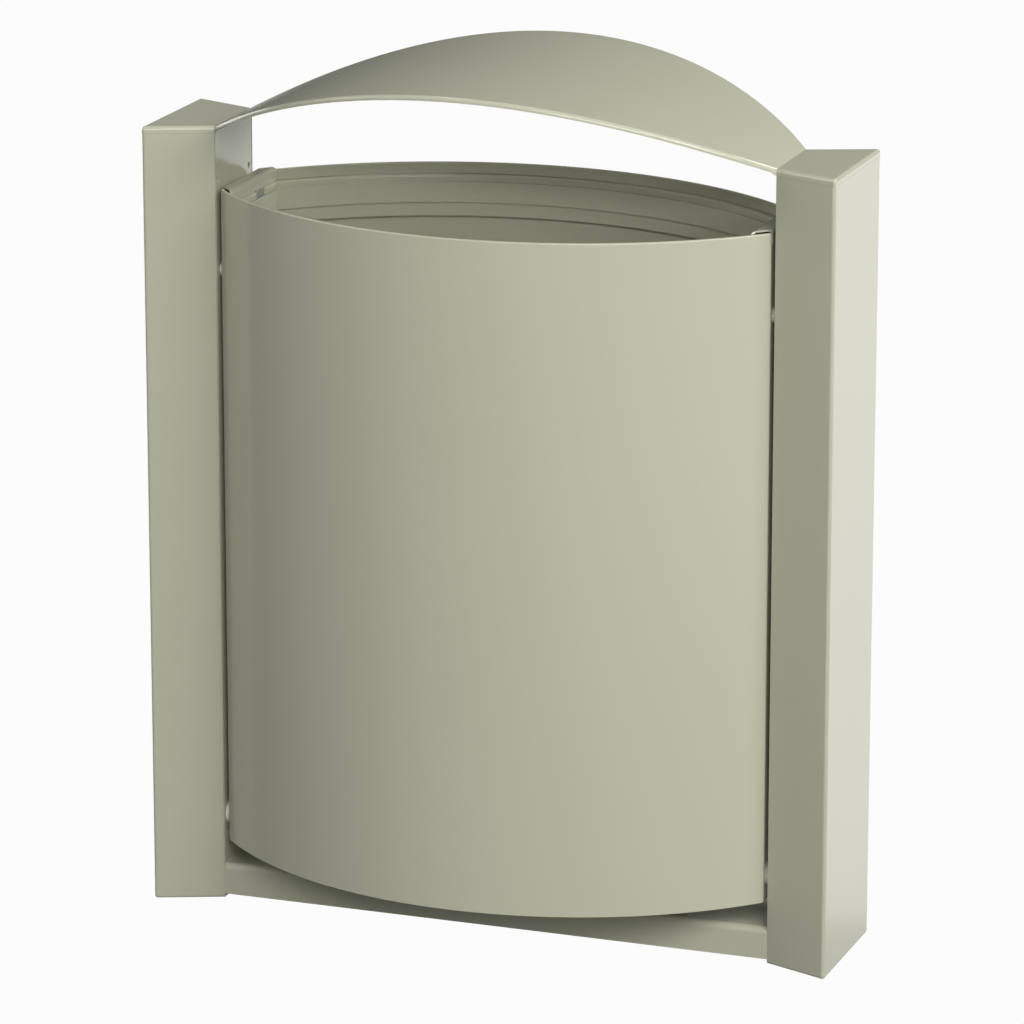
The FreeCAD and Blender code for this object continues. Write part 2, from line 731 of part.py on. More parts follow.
# Beam between the posts: a channel, open below, with bolted end plates
def bottom_beam():
    body = new_body("beam_channel")
    outer_y = post_inner_y
    inner_y = outer_y - size.beam_sheet
    inner_z = beam_top - size.beam_sheet
    channel = [
        corner(-outer_y, size.beam_lift),
        corner(-outer_y, beam_top),
        corner(outer_y, beam_top),
        corner(outer_y, size.beam_lift),
        corner(inner_y, size.beam_lift),
        corner(inner_y, inner_z),
        corner(-inner_y, inner_z),
        corner(-inner_y, size.beam_lift),
    ]
    pad(body, draw(body, "YZ_Plane", ZERO, [channel]), 2 * post_inner_x, symmetric=True)

    def is_bend(edge, y, z):
        box = edge.BoundBox
        return box.XLength > post_inner_x.value and near(abs(box.YMin), y.value) and is_level(edge, z)

    round_edges(body, size.beam_bend, lambda edge: is_bend(edge, outer_y, beam_top))
    inside_bend = size.beam_bend - size.beam_sheet
    round_edges(body, inside_bend, lambda edge: is_bend(edge, inner_y, inner_z))
    end = [
        corner(-outer_y + size.beam_sheet / 2, size.beam_lift),
        corner(outer_y - size.beam_sheet / 2, size.beam_lift),
        corner(outer_y - size.beam_sheet / 2, beam_top - size.beam_bend),
        corner(outer_y - size.beam_bend, beam_top - size.beam_sheet / 2),
        corner(-outer_y + size.beam_bend, beam_top - size.beam_sheet / 2),
        corner(-outer_y + size.beam_sheet / 2, beam_top - size.beam_bend),
    ]
    for name, side in SIDES:
        sketch = draw(body, "YZ_Plane", side * post_inner_x, [end])
        pad(body, sketch, size.beam_end, backwards=side > 0)
    holes = []
    for way in (-1, 1):
        holes.append(thread("beam_bolt_hole", size.beam_bolt + size.hole_slack, 2 * post_outer_x,
                            -post_outer_x, way * size.beam_bolt_spread / 2, beam_bolt_z, "x"))
        holes.append(thread("buffer_bolt_hole", size.buffer_bolt + size.hole_slack, 2 * beam_top,
                            way * size.buffer_spread / 2, size.buffer_back))
    return finish(cut("drilled_beam", body, holes), "bottom_beam")


def beam_bolts():
    """Hexagon bolts from inside the beam into the weld nuts of the inner plates."""
    bolts = []
    for name, side in SIDES:
        outwards, inwards = ("x", "-x") if side > 0 else ("-x", "x")
        head_x = side * (post_inner_x - size.beam_end)
        for way in (-1, 1):
            y = way * size.beam_bolt_spread / 2
            head = hexagon("beam_bolt_head", size.beam_bolt_flats, size.beam_bolt_head,
                           head_x, y, beam_bolt_z, inwards)
            stem = shank("beam_bolt_shank", size.beam_bolt, size.beam_bolt_grip,
                         head_x, y, beam_bolt_z, outwards)
            bolts.append(fuse("beam_bolt", [head, stem]))
    return group("beam_bolts", bolts)


# Hood: one sheet that caps both posts and arches over the bin, with a lip all round
def arch_band(name, upper, lower):
    """The hood's arch as a solid between two depths below its upper surface."""
    body = new_body(name)

    def arc_end(depth):
        z = size.post_height - depth
        arc = arch_radius - depth
        reach = root(arc * arc - (z - arch_centre_z) * (z - arch_centre_z))
        return z, arc, reach

    top_z, top_arc, top_reach = arc_end(upper)
    low_z, low_arc, low_reach = arc_end(lower)
    outline = [
        corner(-post_outer_x, top_z),
        corner(-top_reach, top_z),
        corner(top_reach, top_z, top_arc, True),
        corner(post_outer_x, top_z),
        corner(post_outer_x, low_z),
        corner(low_reach, low_z),
        corner(-low_reach, low_z, low_arc),
        corner(-post_outer_x, low_z),
    ]
    depth = 4 * (post_inner_y + size.hood_bulge)
    pad(body, draw(body, "XZ_Plane", ZERO, [outline]), depth, symmetric=True)
    return body


def arch_plan(name, inset, half_width):
    """Plan of the arch, a lens drawn in by an inset, as an upright solid."""
    body = new_body(name)
    bulge = size.hood_bulge
    radius = (post_inner_x * post_inner_x + bulge * bulge) / (2 * bulge)
    arc = radius - inset
    half_depth = root(arc * arc - half_width * half_width) - (radius - bulge - post_inner_y)
    outline = [
        corner(-half_width, -half_depth),
        corner(half_width, -half_depth, arc),
        corner(half_width, half_depth),
        corner(-half_width, half_depth, arc),
    ]
    sketch = draw(body, "XY_Plane", size.post_height - 4 * size.hood_lip, [outline])
    pad(body, sketch, 2 * size.hood_rise + 4 * size.hood_lip)
    return body


def hood_arch():
    blank = common("arch_blank", arch_band("arch_outer_band", ZERO, size.hood_lip),
                   arch_plan("arch_outer_plan", ZERO, post_inner_x))
    hollow = common("arch_hollow", arch_band("arch_inner_band", size.hood_sheet, 2 * size.hood_lip),
                    arch_plan("arch_inner_plan", size.hood_sheet, post_inner_x + size.hood_sheet))
    doc.recompute()

    def along_the_top(edge):
        point = edge.valueAt((edge.FirstParameter + edge.LastParameter) / 2)
        lift = math.hypot(point.x, point.z - arch_centre_z.value)
        return lift > (arch_radius - size.hood_bevel).value and not near(edge.BoundBox.XLength, 0)

    beveled = doc.addObject("Part::Chamfer", "arch_beveled")
    beveled.Base = blank
    bevel = size.hood_bevel.value
    beveled.Edges = [
        (index, bevel, bevel)
        for index, edge in enumerate(blank.Shape.Edges, start=1)
        if along_the_top(edge)
    ]
    return cut("arch_pressed", beveled, [hollow])


def hood_cap(name, side):
    """The hood's flat end over one post."""
    body = new_body(name)
    drop = size.hood_sheet * post_stretch
    inner_end_x = post_outer_x - size.hood_sheet
    inner_end_y = rear_face_y(inner_end_x) - drop
    open_x = post_inner_x - size.hood_sheet
    open_y = rear_face_y(open_x) - drop
    outer = [
        corner(side * post_inner_x, -post_inner_y),
        corner(side * post_outer_x, -post_outer_y),
        corner(side * post_outer_x, post_outer_y),
        corner(side * post_inner_x, post_inner_y),
    ]
    inner = [
        corner(side * open_x, -open_y),
        corner(side * inner_end_x, -inner_end_y),
        corner(side * inner_end_x, inner_end_y),
        corner(side * open_x, open_y),
    ]
    low_z = size.post_height - size.hood_lip
    pad(body, draw(body, "XY_Plane", low_z, [outer]), size.hood_lip)
    bends = [(side * post_outer_x, way * post_outer_y) for way in (-1, 1)]
    round_edges(body, size.post_bend, lambda edge: is_upright(edge, bends))

    def on_cap_outline(edge):
        inner_edge = near(abs(edge.CenterOfMass.x), post_inner_x.value)
        return is_level(edge, size.post_height) and not inner_edge

    bevel_edges(body, size.hood_bevel, on_cap_outline)
    hollow = draw(body, "XY_Plane", low_z, [inner])
    cut_depth(body, hollow, size.hood_lip - size.hood_sheet, forwards=True)
    return body


def hood():
    studs = [
        shank("hood_stud", size.hood_stud, size.hood_stud_length, side * hood_stud_x, ZERO,
              hood_under, "-z")
        for name, side in SIDES
    ]
    caps = [hood_cap(name + "_cap", side) for name, side in SIDES]
    return finish(fuse("hood", [hood_arch()] + caps + studs), "hood")


def hood_angle(name, side):
    """Angle inside the top of a post that the hood is bolted to."""
    body = new_body(name)
    wall_x = post_outer_x - size.post_sheet
    outline = [
        corner(side * wall_x, hood_under),
        corner(side * (wall_x - size.angle_reach), hood_under),
        corner(side * (wall_x - size.angle_reach), hood_under - size.angle_sheet),
        corner(side * (wall_x - size.angle_sheet), hood_under - size.angle_sheet),
        corner(side * (wall_x - size.angle_sheet), hood_under - size.angle_drop),
        corner(side * wall_x, hood_under - size.angle_drop),
    ]
    pad(body, draw(body, "XZ_Plane", ZERO, [outline]), size.angle_width, symmetric=True)
    hole = thread(name + "_hole", size.hood_stud + size.hole_slack, 2 * size.hood_stud_length,
                  side * hood_stud_x, ZERO, hood_under + size.hood_stud_length, "-z")
    return cut(name + "_drilled", body, [hole])


def hood_nuts():
    blank = hexagon("hood_nut_blank", size.hood_nut_flats, size.hood_nut_height, along="-z")
    hole = thread("hood_nut_thread", size.hood_stud + 2 * size.press_gap, size.hood_stud_length,
                  along="-z")
    nut = cut("hood_nut", blank, [hole])
    under_angle = hood_under - size.angle_sheet
    places = [(side * hood_stud_x, ZERO, under_angle, None) for name, side in SIDES]
    return copies("hood_nuts", nut, places)


# Wall rails: folded channels that hold the posts clear of the wall
def wall_rail(label, side):
    body = new_body(label + "_folded")
    lap_x = post_inner_x + size.rail_lap
    web_x = post_inner_x + size.rail_sheet
    flange_x = post_inner_x + size.rail_flange
    flange_y = wall_standoff - size.rail_sheet
    slant = size.rail_sheet * post_stretch
    points = [
        (post_inner_x, post_inner_y),
        (lap_x, rear_face_y(lap_x)),
        (lap_x, rear_face_y(lap_x) + slant),
        (web_x, rear_face_y(web_x) + slant),
        (web_x, flange_y),
        (flange_x, flange_y),
        (flange_x, wall_standoff),
        (post_inner_x, wall_standoff),
    ]
    outline = [corner(side * x, y) for x, y in points]
    pad(body, draw(body, "XY_Plane", rail_bottom, [outline]), size.rail_height)
    bends = [(side * points[index][0], points[index][1]) for index in (0, 7)]
    round_edges(body, size.rail_bend, lambda edge: is_upright(edge, bends))
    folds = [(side * points[index][0], points[index][1]) for index in (3, 4)]
    inside_bend = size.rail_bend - size.rail_sheet
    round_edges(body, inside_bend, lambda edge: is_upright(edge, folds))
    holes = [
        (side * wall_hole_x, mount_height + way * wall_hole_rise, size.wall_hole)
        for way in (-1, 1)
    ]
    sketch = draw(body, "XZ_Plane", -wall_standoff, circles=holes)
    cut_depth(body, sketch, 2 * size.rail_sheet, forwards=True)
    tools = []
    for x, y, z, turn in rail_screw_places(side):
        hole = thread(label + "_hole", size.rail_screw + size.hole_slack, 2 * size.rail_screw)
        reach = size.rail_screw / post_stretch
        move(hole, x + side * reach * post_slope, y - reach, z, turn)
        tools.append(hole)
    return finish(cut(label, body, tools), label)


def rail_screws():
    """Hexagon screws through the rails into the weld nuts of the posts."""
    head = hexagon("rail_screw_head", size.rail_screw_flats, size.rail_screw_head)
    stem = shank("rail_screw_shank", size.rail_screw, size.rail_screw_grip, along="-z")
    screw = fuse("rail_screw", [head, stem])
    return copies("rail_screws", screw, rail_screw_places(-1) + rail_screw_places(1))


# Rubber buffers on the beam that the bin rests on
def rest_buffers():
    height = floor_z - beam_top
    rubber = rod("buffer_rubber", size.buffer_size, height)
    hole = thread("buffer_thread", size.buffer_bolt + 2 * size.press_gap, size.buffer_bolt_length)
    buffer = cut("rest_buffer", rubber, [hole])
    head = hexagon("buffer_bolt_head", size.buffer_bolt_flats, size.buffer_bolt_head, along="-z")
    stem = shank("buffer_bolt_shank", size.buffer_bolt, size.buffer_bolt_length)
    bolt = fuse("buffer_bolt", [head, stem])
    spots = [(way * size.buffer_spread / 2, size.buffer_back) for way in (-1, 1)]
    copies("rest_buffers", buffer, [(x, y, beam_top, None) for x, y in spots])
    copies("buffer_bolts", bolt, [(x, y, beam_top - size.beam_sheet, None) for x, y in spots])


# Pivots: a stud on each post, a flanged bush and a doubler in the bin's side
def pivot_stud(side):
    outwards, inwards = ("x", "-x") if side > 0 else ("-x", "x")
    start_x = side * plate_back_x
    y = -pivot_forward
    head = hexagon("stud_head", size.pivot_flats, size.pivot_stud_head, start_x, y, pivot_z,
                   outwards)
    shank = rod("stud_shank", size.pivot_stud, size.pivot_stud_reach + size.plate_sheet,
                start_x, y, pivot_z, inwards)
    return fuse("pivot_stud", [head, shank])


def pivot_bush(side):
    outwards, inwards = ("x", "-x") if side > 0 else ("-x", "x")
    start_x = side * bin_x
    y = -pivot_forward
    flange = rod("bush_flange", size.bush_flange, size.side_gap - size.rest_gap,
                 start_x, y, pivot_z, outwards)
    sleeve = rod("bush_sleeve", size.bush_sleeve, size.bin_sheet + size.doubler_sheet,
                 start_x, y, pivot_z, inwards)
    bore = rod("bush_bore", size.pivot_stud + 2 * size.running_gap, 2 * size.pivot_stud_reach,
               side * plate_back_x, y, pivot_z, inwards)
    return cut("pivot_bush", fuse("bush_blank", [flange, sleeve]), [bore])


def pivot_doubler(side):
    body = new_body("pivot_doubler")
    front_y = -pivot_forward - size.doubler_front
    back_y = -pivot_forward + size.doubler_back
    low = floor_z + size.floor_lip + size.rest_gap
    outline = [
        corner(front_y, low),
        corner(back_y, low),
        corner(back_y, low + size.doubler_height),
        corner(front_y, low + size.doubler_height),
    ]
    hole = [(-pivot_forward, pivot_z, bush_hole)]
    sketch = draw(body, "YZ_Plane", side * side_inner_x, [outline], hole)
    pad(body, sketch, size.doubler_sheet, backwards=side > 0)
    return body


def pivot_fasteners():
    """Washers and lock nuts on the studs, inside the bin."""
    washers = []
    nuts = []
    y = -pivot_forward
    z = pivot_z
    for name, side in SIDES:
        inwards = "-x" if side > 0 else "x"
        washer_x = side * (doubler_inner_x - size.rest_gap)
        nut_x = side * (doubler_inner_x - size.rest_gap - size.pivot_washer_sheet)
        bore = size.pivot_stud + 2 * size.press_gap
        disc = rod("pivot_washer_disc", size.pivot_washer, size.pivot_washer_sheet,
                   washer_x, y, z, inwards)
        hole = thread("pivot_washer_hole", bore, size.pivot_washer, washer_x, y, z, inwards)
        washers.append(cut("pivot_washer_piece", disc, [hole]))
        blank = hexagon("pivot_nut_blank", size.pivot_flats, size.pivot_nut, nut_x, y, z, inwards)
        hole = thread("pivot_nut_thread", bore, 2 * size.pivot_nut, nut_x, y, z, inwards)
        nuts.append(cut("pivot_nut_piece", blank, [hole]))
    group("pivot_washers", washers)
    group("pivot_nuts", nuts)


# Bin: curved front and rear sheets with a hem round the rim
def curved_panel(label, front):
    body = new_body(label)
    outline = arc_band(bin_radius, size.bin_sheet, front)
    pad(body, draw(body, "XY_Plane", bin_lift, [outline]), bin_height)
    hem_radius = bin_radius - size.bin_sheet / 2
    hem = arc_band(hem_radius, size.bin_sheet / 2 + size.hem_sheet, front)
    pad(body, draw(body, "XY_Plane", hem_z, [hem]), size.hem_height)

    def on_rim(edge):
        return is_level(edge, rim_z) and edge.BoundBox.XLength > bin_x.value

    bevel_edges(body, size.rim_bevel, on_rim)
    return finish(body, label)


def side_panel(label, side):
    """Flat side with weld flanges and a strip folded over at its top."""
    body = new_body(label + "_folded")
    strip_x = bin_x - size.strip_width
    strip_foot = collar_top + size.weld_gap
    points = [
        (bin_x, bin_lift),
        (bin_x, strip_top),
        (strip_x, strip_top),
        (strip_x, strip_foot),
        (strip_x + size.bin_sheet, strip_foot),
        (strip_x + size.bin_sheet, strip_top - size.bin_sheet),
        (side_inner_x, strip_top - size.bin_sheet),
        (side_inner_x, bin_lift),
    ]
    outline = [corner(side * x, z) for x, z in points]
    depth = 2 * bin_y + 4 * size.strip_width
    pad(body, draw(body, "XZ_Plane", ZERO, [outline]), depth, symmetric=True)

    def is_fold(edge):
        box = edge.BoundBox
        at_side = near(abs(box.XMin), bin_x.value) or near(abs(box.XMin), strip_x.value)
        return is_level(edge, strip_top) and near(box.XLength, 0) and at_side

    round_edges(body, size.strip_bend, is_fold)
    past_side = bin_x + size.side_gap
    outer_y = bin_y + size.bin_bulge

    def trim(radius):
        frame = [
            corner(-past_side, -outer_y),
            corner(past_side, -outer_y),
            corner(past_side, outer_y),
            corner(-past_side, outer_y),
        ]
        return [frame, lens(radius, bin_x + size.bin_sheet)]

    cut_through(body, draw(body, "XY_Plane", ZERO, trim(weld_radius)))
    above = draw(body, "XY_Plane", flange_top, trim(weld_radius - size.hem_sheet))
    cut_depth(body, above, 2 * size.hem_height + size.strip_rise, forwards=True)
    flange_radius = weld_radius - size.bin_sheet
    start_x = bin_x - size.bin_sheet / 2
    end_x = bin_x - size.flange_reach
    for front in (-1, 1):
        # Seen from above, the outer arc of a flange runs inwards from the side.
        away = (front < 0) == (side > 0)
        flange = [
            corner(side * start_x, front * lens_y(weld_radius, start_x)),
            corner(side * end_x, front * lens_y(weld_radius, end_x), weld_radius, away),
            corner(side * end_x, front * lens_y(flange_radius, end_x)),
            corner(side * start_x, front * lens_y(flange_radius, start_x), flange_radius, not away),
        ]
        sketch = draw(body, "XY_Plane", bin_lift, [flange])
        pad(body, sketch, flange_top - bin_lift)
    holes = [(-pivot_forward, pivot_z, bush_hole)]
    if side < 0:
        holes.append((keeper_y, keeper_z, keeper_hole))
    cut_through(body, draw(body, "YZ_Plane", ZERO, circles=holes))
    glide = thread(label + "_hole", glide_hole, 2 * size.side_gap, side * (bin_x + size.side_gap),
                   -glide_forward, glide_z, "-x" if side > 0 else "x")
    return finish(cut(label + "_drilled", body, [glide]), label)


def floor_pan():
    """Pressed floor with an upturned lip and drain holes."""
    body = new_body("floor_pan")
    radius = weld_radius - size.bin_sheet - size.weld_gap
    half_width = side_inner_x - size.weld_gap
    outer = lens(radius, half_width)
    pad(body, draw(body, "XY_Plane", floor_z, [outer]), size.floor_lip)
    inner = lens(radius - size.floor_sheet, half_width - size.floor_sheet)
    sketch = draw(body, "XY_Plane", floor_z + size.floor_sheet, [inner])
    cut_depth(body, sketch, size.floor_lip, forwards=True)
    drains = [(step * size.drain_pitch, ZERO, size.drain_hole) for step in (-1, 0, 1)]
    cut_through(body, draw(body, "XY_Plane", floor_z, circles=drains))
    return finish(body, "floor_pan")


def bag_collar():
    """Flange round the inside of the rim, with a skirt that the bag is clamped against."""
    body = new_body("bag_collar")
    skirt_outer = lens(collar_radius, collar_x)
    skirt_inner = lens(collar_radius - size.collar_sheet, collar_x - size.collar_sheet)
    edge = lens(weld_radius, side_inner_x - size.weld_gap)
    sketch = draw(body, "XY_Plane", collar_top - size.collar_sheet, [edge, skirt_inner])
    pad(body, sketch, size.collar_sheet)
    sketch = draw(body, "XY_Plane", collar_top - size.collar_height, [skirt_outer, skirt_inner])
    pad(body, sketch, size.collar_height)

    def at_bend(edge):
        inside = abs(edge.BoundBox.XMin) < collar_x.value and abs(edge.BoundBox.XMax) < collar_x.value
        return is_level(edge, collar_top) and inside

    bevel_edges(body, size.collar_bevel, at_bend)
    return finish(body, "bag_collar")


def bag_ring():
    """Loose hoop that clamps the bag inside the collar."""
    body = new_body("bag_ring")
    outer = lens(ring_radius, ring_x)
    inner = lens(ring_radius - size.ring_sheet, ring_x - size.ring_sheet)
    pad(body, draw(body, "XY_Plane", ring_bottom, [outer, inner]), size.ring_height)
    return finish(body, "bag_ring")


def ring_clips():
    """Hooked clips on the collar's sides that carry the bag ring."""
    clips = []
    back_x = collar_x - size.collar_sheet
    face_x = back_x - size.clip_sheet
    ledge_x = back_x - size.clip_ledge
    hook_x = collar_x - size.clip_hook_gap
    ledge_z = ring_bottom - size.rest_gap
    hook_z = collar_top + size.clip_sheet
    points = [
        (face_x, hook_z),
        (hook_x, hook_z),
        (hook_x, collar_top),
        (back_x, collar_top),
        (back_x, ledge_z - size.clip_sheet),
        (ledge_x, ledge_z - size.clip_sheet),
        (ledge_x, ledge_z),
        (face_x, ledge_z),
    ]
    for name, side in SIDES:
        body = new_body(name + "_ring_clip")
        outline = [corner(side * x, z) for x, z in points]
        sketch = draw(body, "XZ_Plane", -size.clip_back, [outline])
        pad(body, sketch, size.clip_width, symmetric=True)
        clips.append(body)
    return group("ring_clips", clips)


def glide_buttons():
    """Buttons in the gaps that keep the bin central between the posts."""
    buttons = []
    y = -glide_forward
    z = glide_z
    for name, side in SIDES:
        outwards, inwards = ("x", "-x") if side > 0 else ("-x", "x")
        head = rod("glide_head", size.glide_head, size.side_gap - size.glide_slack,
                   side * bin_x, y, z, outwards)
        stem = shank("glide_stem", size.glide_stem, size.glide_stem_length, side * bin_x, y, z,
                     inwards)
        buttons.append(fuse("glide_button", [head, stem]))
    return group("glide_buttons", buttons)


# Lock in the left post: a plug with a three-sided key stud turns a cam in the gap
def lock():
    y = -size.lock_forward
    z = lock_z
    wall_x = -post_outer_x
    face = rod("lock_face", size.lock_barrel + 2 * size.lock_face_rim, size.lock_face_height,
               wall_x, y, z, "-x")
    barrel = rod("lock_barrel", size.lock_barrel, size.lock_barrel_length, wall_x, y, z, "x")
    bore = rod("lock_bore", size.lock_plug + 2 * size.running_gap,
               size.lock_barrel_length + 2 * size.lock_face_height,
               wall_x - size.lock_face_height, y, z, "x")
    finish(cut("lock_case", fuse("lock_case_blank", [face, barrel]), [bore]), "lock_case")
    nut_x = wall_x + size.post_sheet
    blank = hexagon("lock_nut_blank", size.lock_barrel + 2 * size.lock_nut_wall,
                    size.lock_nut_height, nut_x, y, z, "x")
    hole = thread("lock_nut_thread", size.lock_barrel + 2 * size.press_gap,
                  size.lock_barrel_length, nut_x, y, z, "x")
    finish(cut("lock_ring_nut", blank, [hole]), "lock_ring_nut")
    gap_middle = -(bin_x + size.side_gap / 2)
    cam_x = gap_middle - size.cam_sheet / 2
    plug_x = wall_x + size.lock_face_height
    plug = rod("lock_plug", size.lock_plug, size.lock_barrel_length - size.lock_face_height,
               plug_x, y, z, "x")
    shaft = rod("lock_shaft", size.lock_shaft, cam_x + size.cam_sheet - plug_x, plug_x, y, z, "x")
    key = prism("lock_key", 3, size.lock_key, 2 * size.lock_face_height, plug_x, y, z, "-x")
    finish(fuse("lock_spindle", [plug, shaft, key]), "lock_spindle")
    body = new_body("lock_cam")
    half = size.cam_width / 2
    end_round = 2 * size.cam_width / 3
    outline = [
        corner(y - size.cam_length + half, z + half),
        corner(y - size.cam_length + half, z - half, end_round),
        corner(y + size.cam_hub, z - half),
        corner(y + size.cam_hub, z + half, end_round),
    ]
    hole = [(y, z, size.lock_shaft + 2 * size.press_gap)]
    pad(body, draw(body, "YZ_Plane", cam_x, [outline], hole), size.cam_sheet)
    finish(body, "lock_cam")


def lock_keeper():
    """Stud on the bin's left side that the turned cam stands in front of."""
    reach = size.side_gap - size.keeper_slack
    pin = rod("keeper_pin", size.keeper_size, reach + size.bin_sheet,
              -side_inner_x, keeper_y, keeper_z, "-x")
    flange = rod("keeper_flange_disc", size.keeper_flange, size.keeper_flange_sheet,
                 -side_inner_x, keeper_y, keeper_z, "x")
    return finish(fuse("lock_keeper", [pin, flange]), "lock_keeper")


for side_name, side_sign in SIDES:
    post_shell(side_name + "_post_shell", side_sign)
    post_inner_plate(side_name + "_post_inner_plate", side_sign)
    wall_rail(side_name + "_wall_rail", side_sign)
    side_panel(side_name + "_side_panel", side_sign)
group("hood_angles", [hood_angle(name + "_hood_angle", side) for name, side in SIDES])
group("pivot_studs", [pivot_stud(side) for name, side in SIDES])
group("pivot_bushes", [pivot_bush(side) for name, side in SIDES])
group("pivot_doublers", [pivot_doubler(side) for name, side in SIDES])
inner_plate_screws()
bottom_beam()
beam_bolts()
hood()
hood_nuts()
rail_screws()
rest_buffers()
pivot_fasteners()
curved_panel("front_panel", -1)
curved_panel("rear_panel", 1)
floor_pan()
bag_collar()
bag_ring()
ring_clips()
glide_buttons()
lock()
lock_keeper()
doc.recompute()

for thing in doc.Objects:
    if "Invalid" in thing.State or "Error" in thing.State:
        raise RuntimeError("{} failed: {}".format(thing.Name, thing.State))
for part in parts:
    if part.Shape.isNull() or not part.Shape.isValid():
        raise RuntimeError("{} has no valid shape".format(part.Label))

os.makedirs("parts", exist_ok=True)
for part in parts:
    part.Shape.exportStep("parts/{}.step".format(part.Label))
print("{} sub-parts".format(len(parts)))
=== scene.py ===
import json
import math

import bmesh
import bpy
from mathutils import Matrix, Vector

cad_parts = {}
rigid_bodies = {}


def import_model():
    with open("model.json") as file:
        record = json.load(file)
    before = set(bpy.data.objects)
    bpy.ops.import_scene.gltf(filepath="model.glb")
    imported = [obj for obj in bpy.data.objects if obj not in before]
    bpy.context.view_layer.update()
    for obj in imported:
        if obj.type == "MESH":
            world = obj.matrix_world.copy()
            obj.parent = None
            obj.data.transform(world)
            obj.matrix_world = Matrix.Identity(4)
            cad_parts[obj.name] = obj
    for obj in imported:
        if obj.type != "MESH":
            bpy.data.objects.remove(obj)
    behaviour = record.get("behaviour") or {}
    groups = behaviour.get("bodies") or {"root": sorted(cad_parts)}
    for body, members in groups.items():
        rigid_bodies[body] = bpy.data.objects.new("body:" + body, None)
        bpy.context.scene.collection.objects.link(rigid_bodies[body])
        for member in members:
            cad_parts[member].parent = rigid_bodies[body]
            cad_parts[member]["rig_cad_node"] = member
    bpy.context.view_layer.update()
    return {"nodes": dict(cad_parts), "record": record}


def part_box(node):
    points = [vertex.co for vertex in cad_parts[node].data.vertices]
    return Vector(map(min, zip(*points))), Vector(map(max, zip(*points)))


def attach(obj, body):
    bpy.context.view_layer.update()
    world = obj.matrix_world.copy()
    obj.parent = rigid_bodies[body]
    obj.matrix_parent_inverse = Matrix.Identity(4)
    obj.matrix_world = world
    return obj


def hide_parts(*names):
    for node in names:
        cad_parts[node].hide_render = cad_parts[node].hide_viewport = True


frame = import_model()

# Wall-mounted waste bin. Lengths are in metres, x to the right, the front towards -y, the wall
# at y = 0. Places come from the CAD nodes; the small sizes of the sheets are named here.

SHEET = {"post": 0.002, "hood": 0.002, "beam": 0.0025, "bin": 0.0015}
POST_BEND = 0.004  # upright bends of a post
FOOT_BEND = 0.0022  # edge round a post's foot
RETURN_LIP = 0.012  # lips that carry a post's inner plate
CUT_EDGE = 0.0003  # softened cut edges of those lips
HOOD_LIP = 0.006  # lip of the hood over the posts, without its seam
ARCH_LIP = 0.0044  # lip of the hood along its arch
HOOD_SEAM = 0.0004  # seam between hood and post in the CAD
SEAM_OPEN = 0.00012  # what stays open of that seam
HOOD_BEND = 0.003  # rolled rim and corners of the hood
BEAM_BEND = 0.006  # upper bends of the beam
BIN_SETBACK = 0.002  # ends of the bin's sides behind the posts' inner faces
HEM_HEIGHT = 0.010  # folded hem round the rim
HEM_REACH = 0.0031  # hem's inner side from the sheet's outer side
HEM_BEND = 0.0015  # rounded top of the hem
STRIP_WIDTH = 0.015  # strip folded over the top of a side
STRIP_BEND = 0.0042  # folds of that strip
STRIP_STEP = 0.002  # step where the side narrows below the strip
STRIP_SINK = 0.002  # strip below the CAD's top, so that its round folds stay inside
FLANGE_REACH = 0.017  # weld flange of a side
FLANGE_STEPS = 4  # facets of that flange along the lens
COLLAR_INSET = 0.008  # collar's skirt inside the curved sheets
COLLAR_BEND = 0.0022  # bend between the collar's flange and skirt
WELD_GAP = 0.0002  # fit between pieces that are welded together
HOLES = {"pivot_bushes": 0.0065, "glide_buttons": 0.003, "lock_keeper": 0.0035}
DRILL_SIDES = 48
DRILL_LENGTH = 0.008
FULL_TURN = 360  # facets of a full circle
ARCH_SIDES = 8 * FULL_TURN  # facets of the large circle of the hood's arch
ARCH_ROWS = 12  # rows of faces across the hood
NARROW_BEND = 4  # facets of a small bend
BEND = 6
WIDE_BEND = 8
FOLD = math.radians(50)  # a fold turns more than this
SHEET_TURN = 25  # degrees of turn that stay smooth on thick folded sheets
ROUND_TURN = 30  # the same on other pieces
NEAR = 5e-5
MERGE = 1e-5

BODY_OF = {
    node: body
    for body, nodes in frame["record"]["behaviour"]["bodies"].items()
    for node in nodes
}
SLOT_OF = {part["node"]: part["material_slot"] for part in frame["record"]["subparts"]}

# Places shared by several pieces
post_low, post_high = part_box("right_post_shell")
post_in_x = post_low.x
post_out_x = post_high.x
middle_y = (post_low.y + post_high.y) / 2
post_half_depth = (post_high.y - post_low.y) / 2
foot_z = post_low.z
shell_top = post_high.z
cap_top = shell_top + HOOD_SEAM + HOOD_LIP
beam_low, beam_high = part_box("bottom_beam")
face_half_depth = (beam_high.y - beam_low.y) / 2
hood_low, hood_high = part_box("hood")
panel_low, panel_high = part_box("front_panel")
collar_low, collar_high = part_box("bag_collar")
bin_half_depth = face_half_depth - BIN_SETBACK
bin_half_width = panel_high.x
bin_bulge = middle_y - panel_low.y - bin_half_depth


def circle_radius(half_chord, rise):
    """Radius of the arc over a chord with this rise."""
    return (half_chord * half_chord + rise * rise) / (2 * rise)


bin_radius = circle_radius(bin_half_width, bin_bulge)
weld_radius = bin_radius - SHEET["bin"] - WELD_GAP
axis_reach = bin_radius - bin_bulge - bin_half_depth


def lens_depth(radius, x):
    """Half depth of the bin's lens with this radius, at a distance x from the middle."""
    return math.sqrt(radius * radius - x * x) - axis_reach


# Modelling by hand
def deselect():
    """No object stays selected."""
    bpy.ops.object.select_all(action="DESELECT")


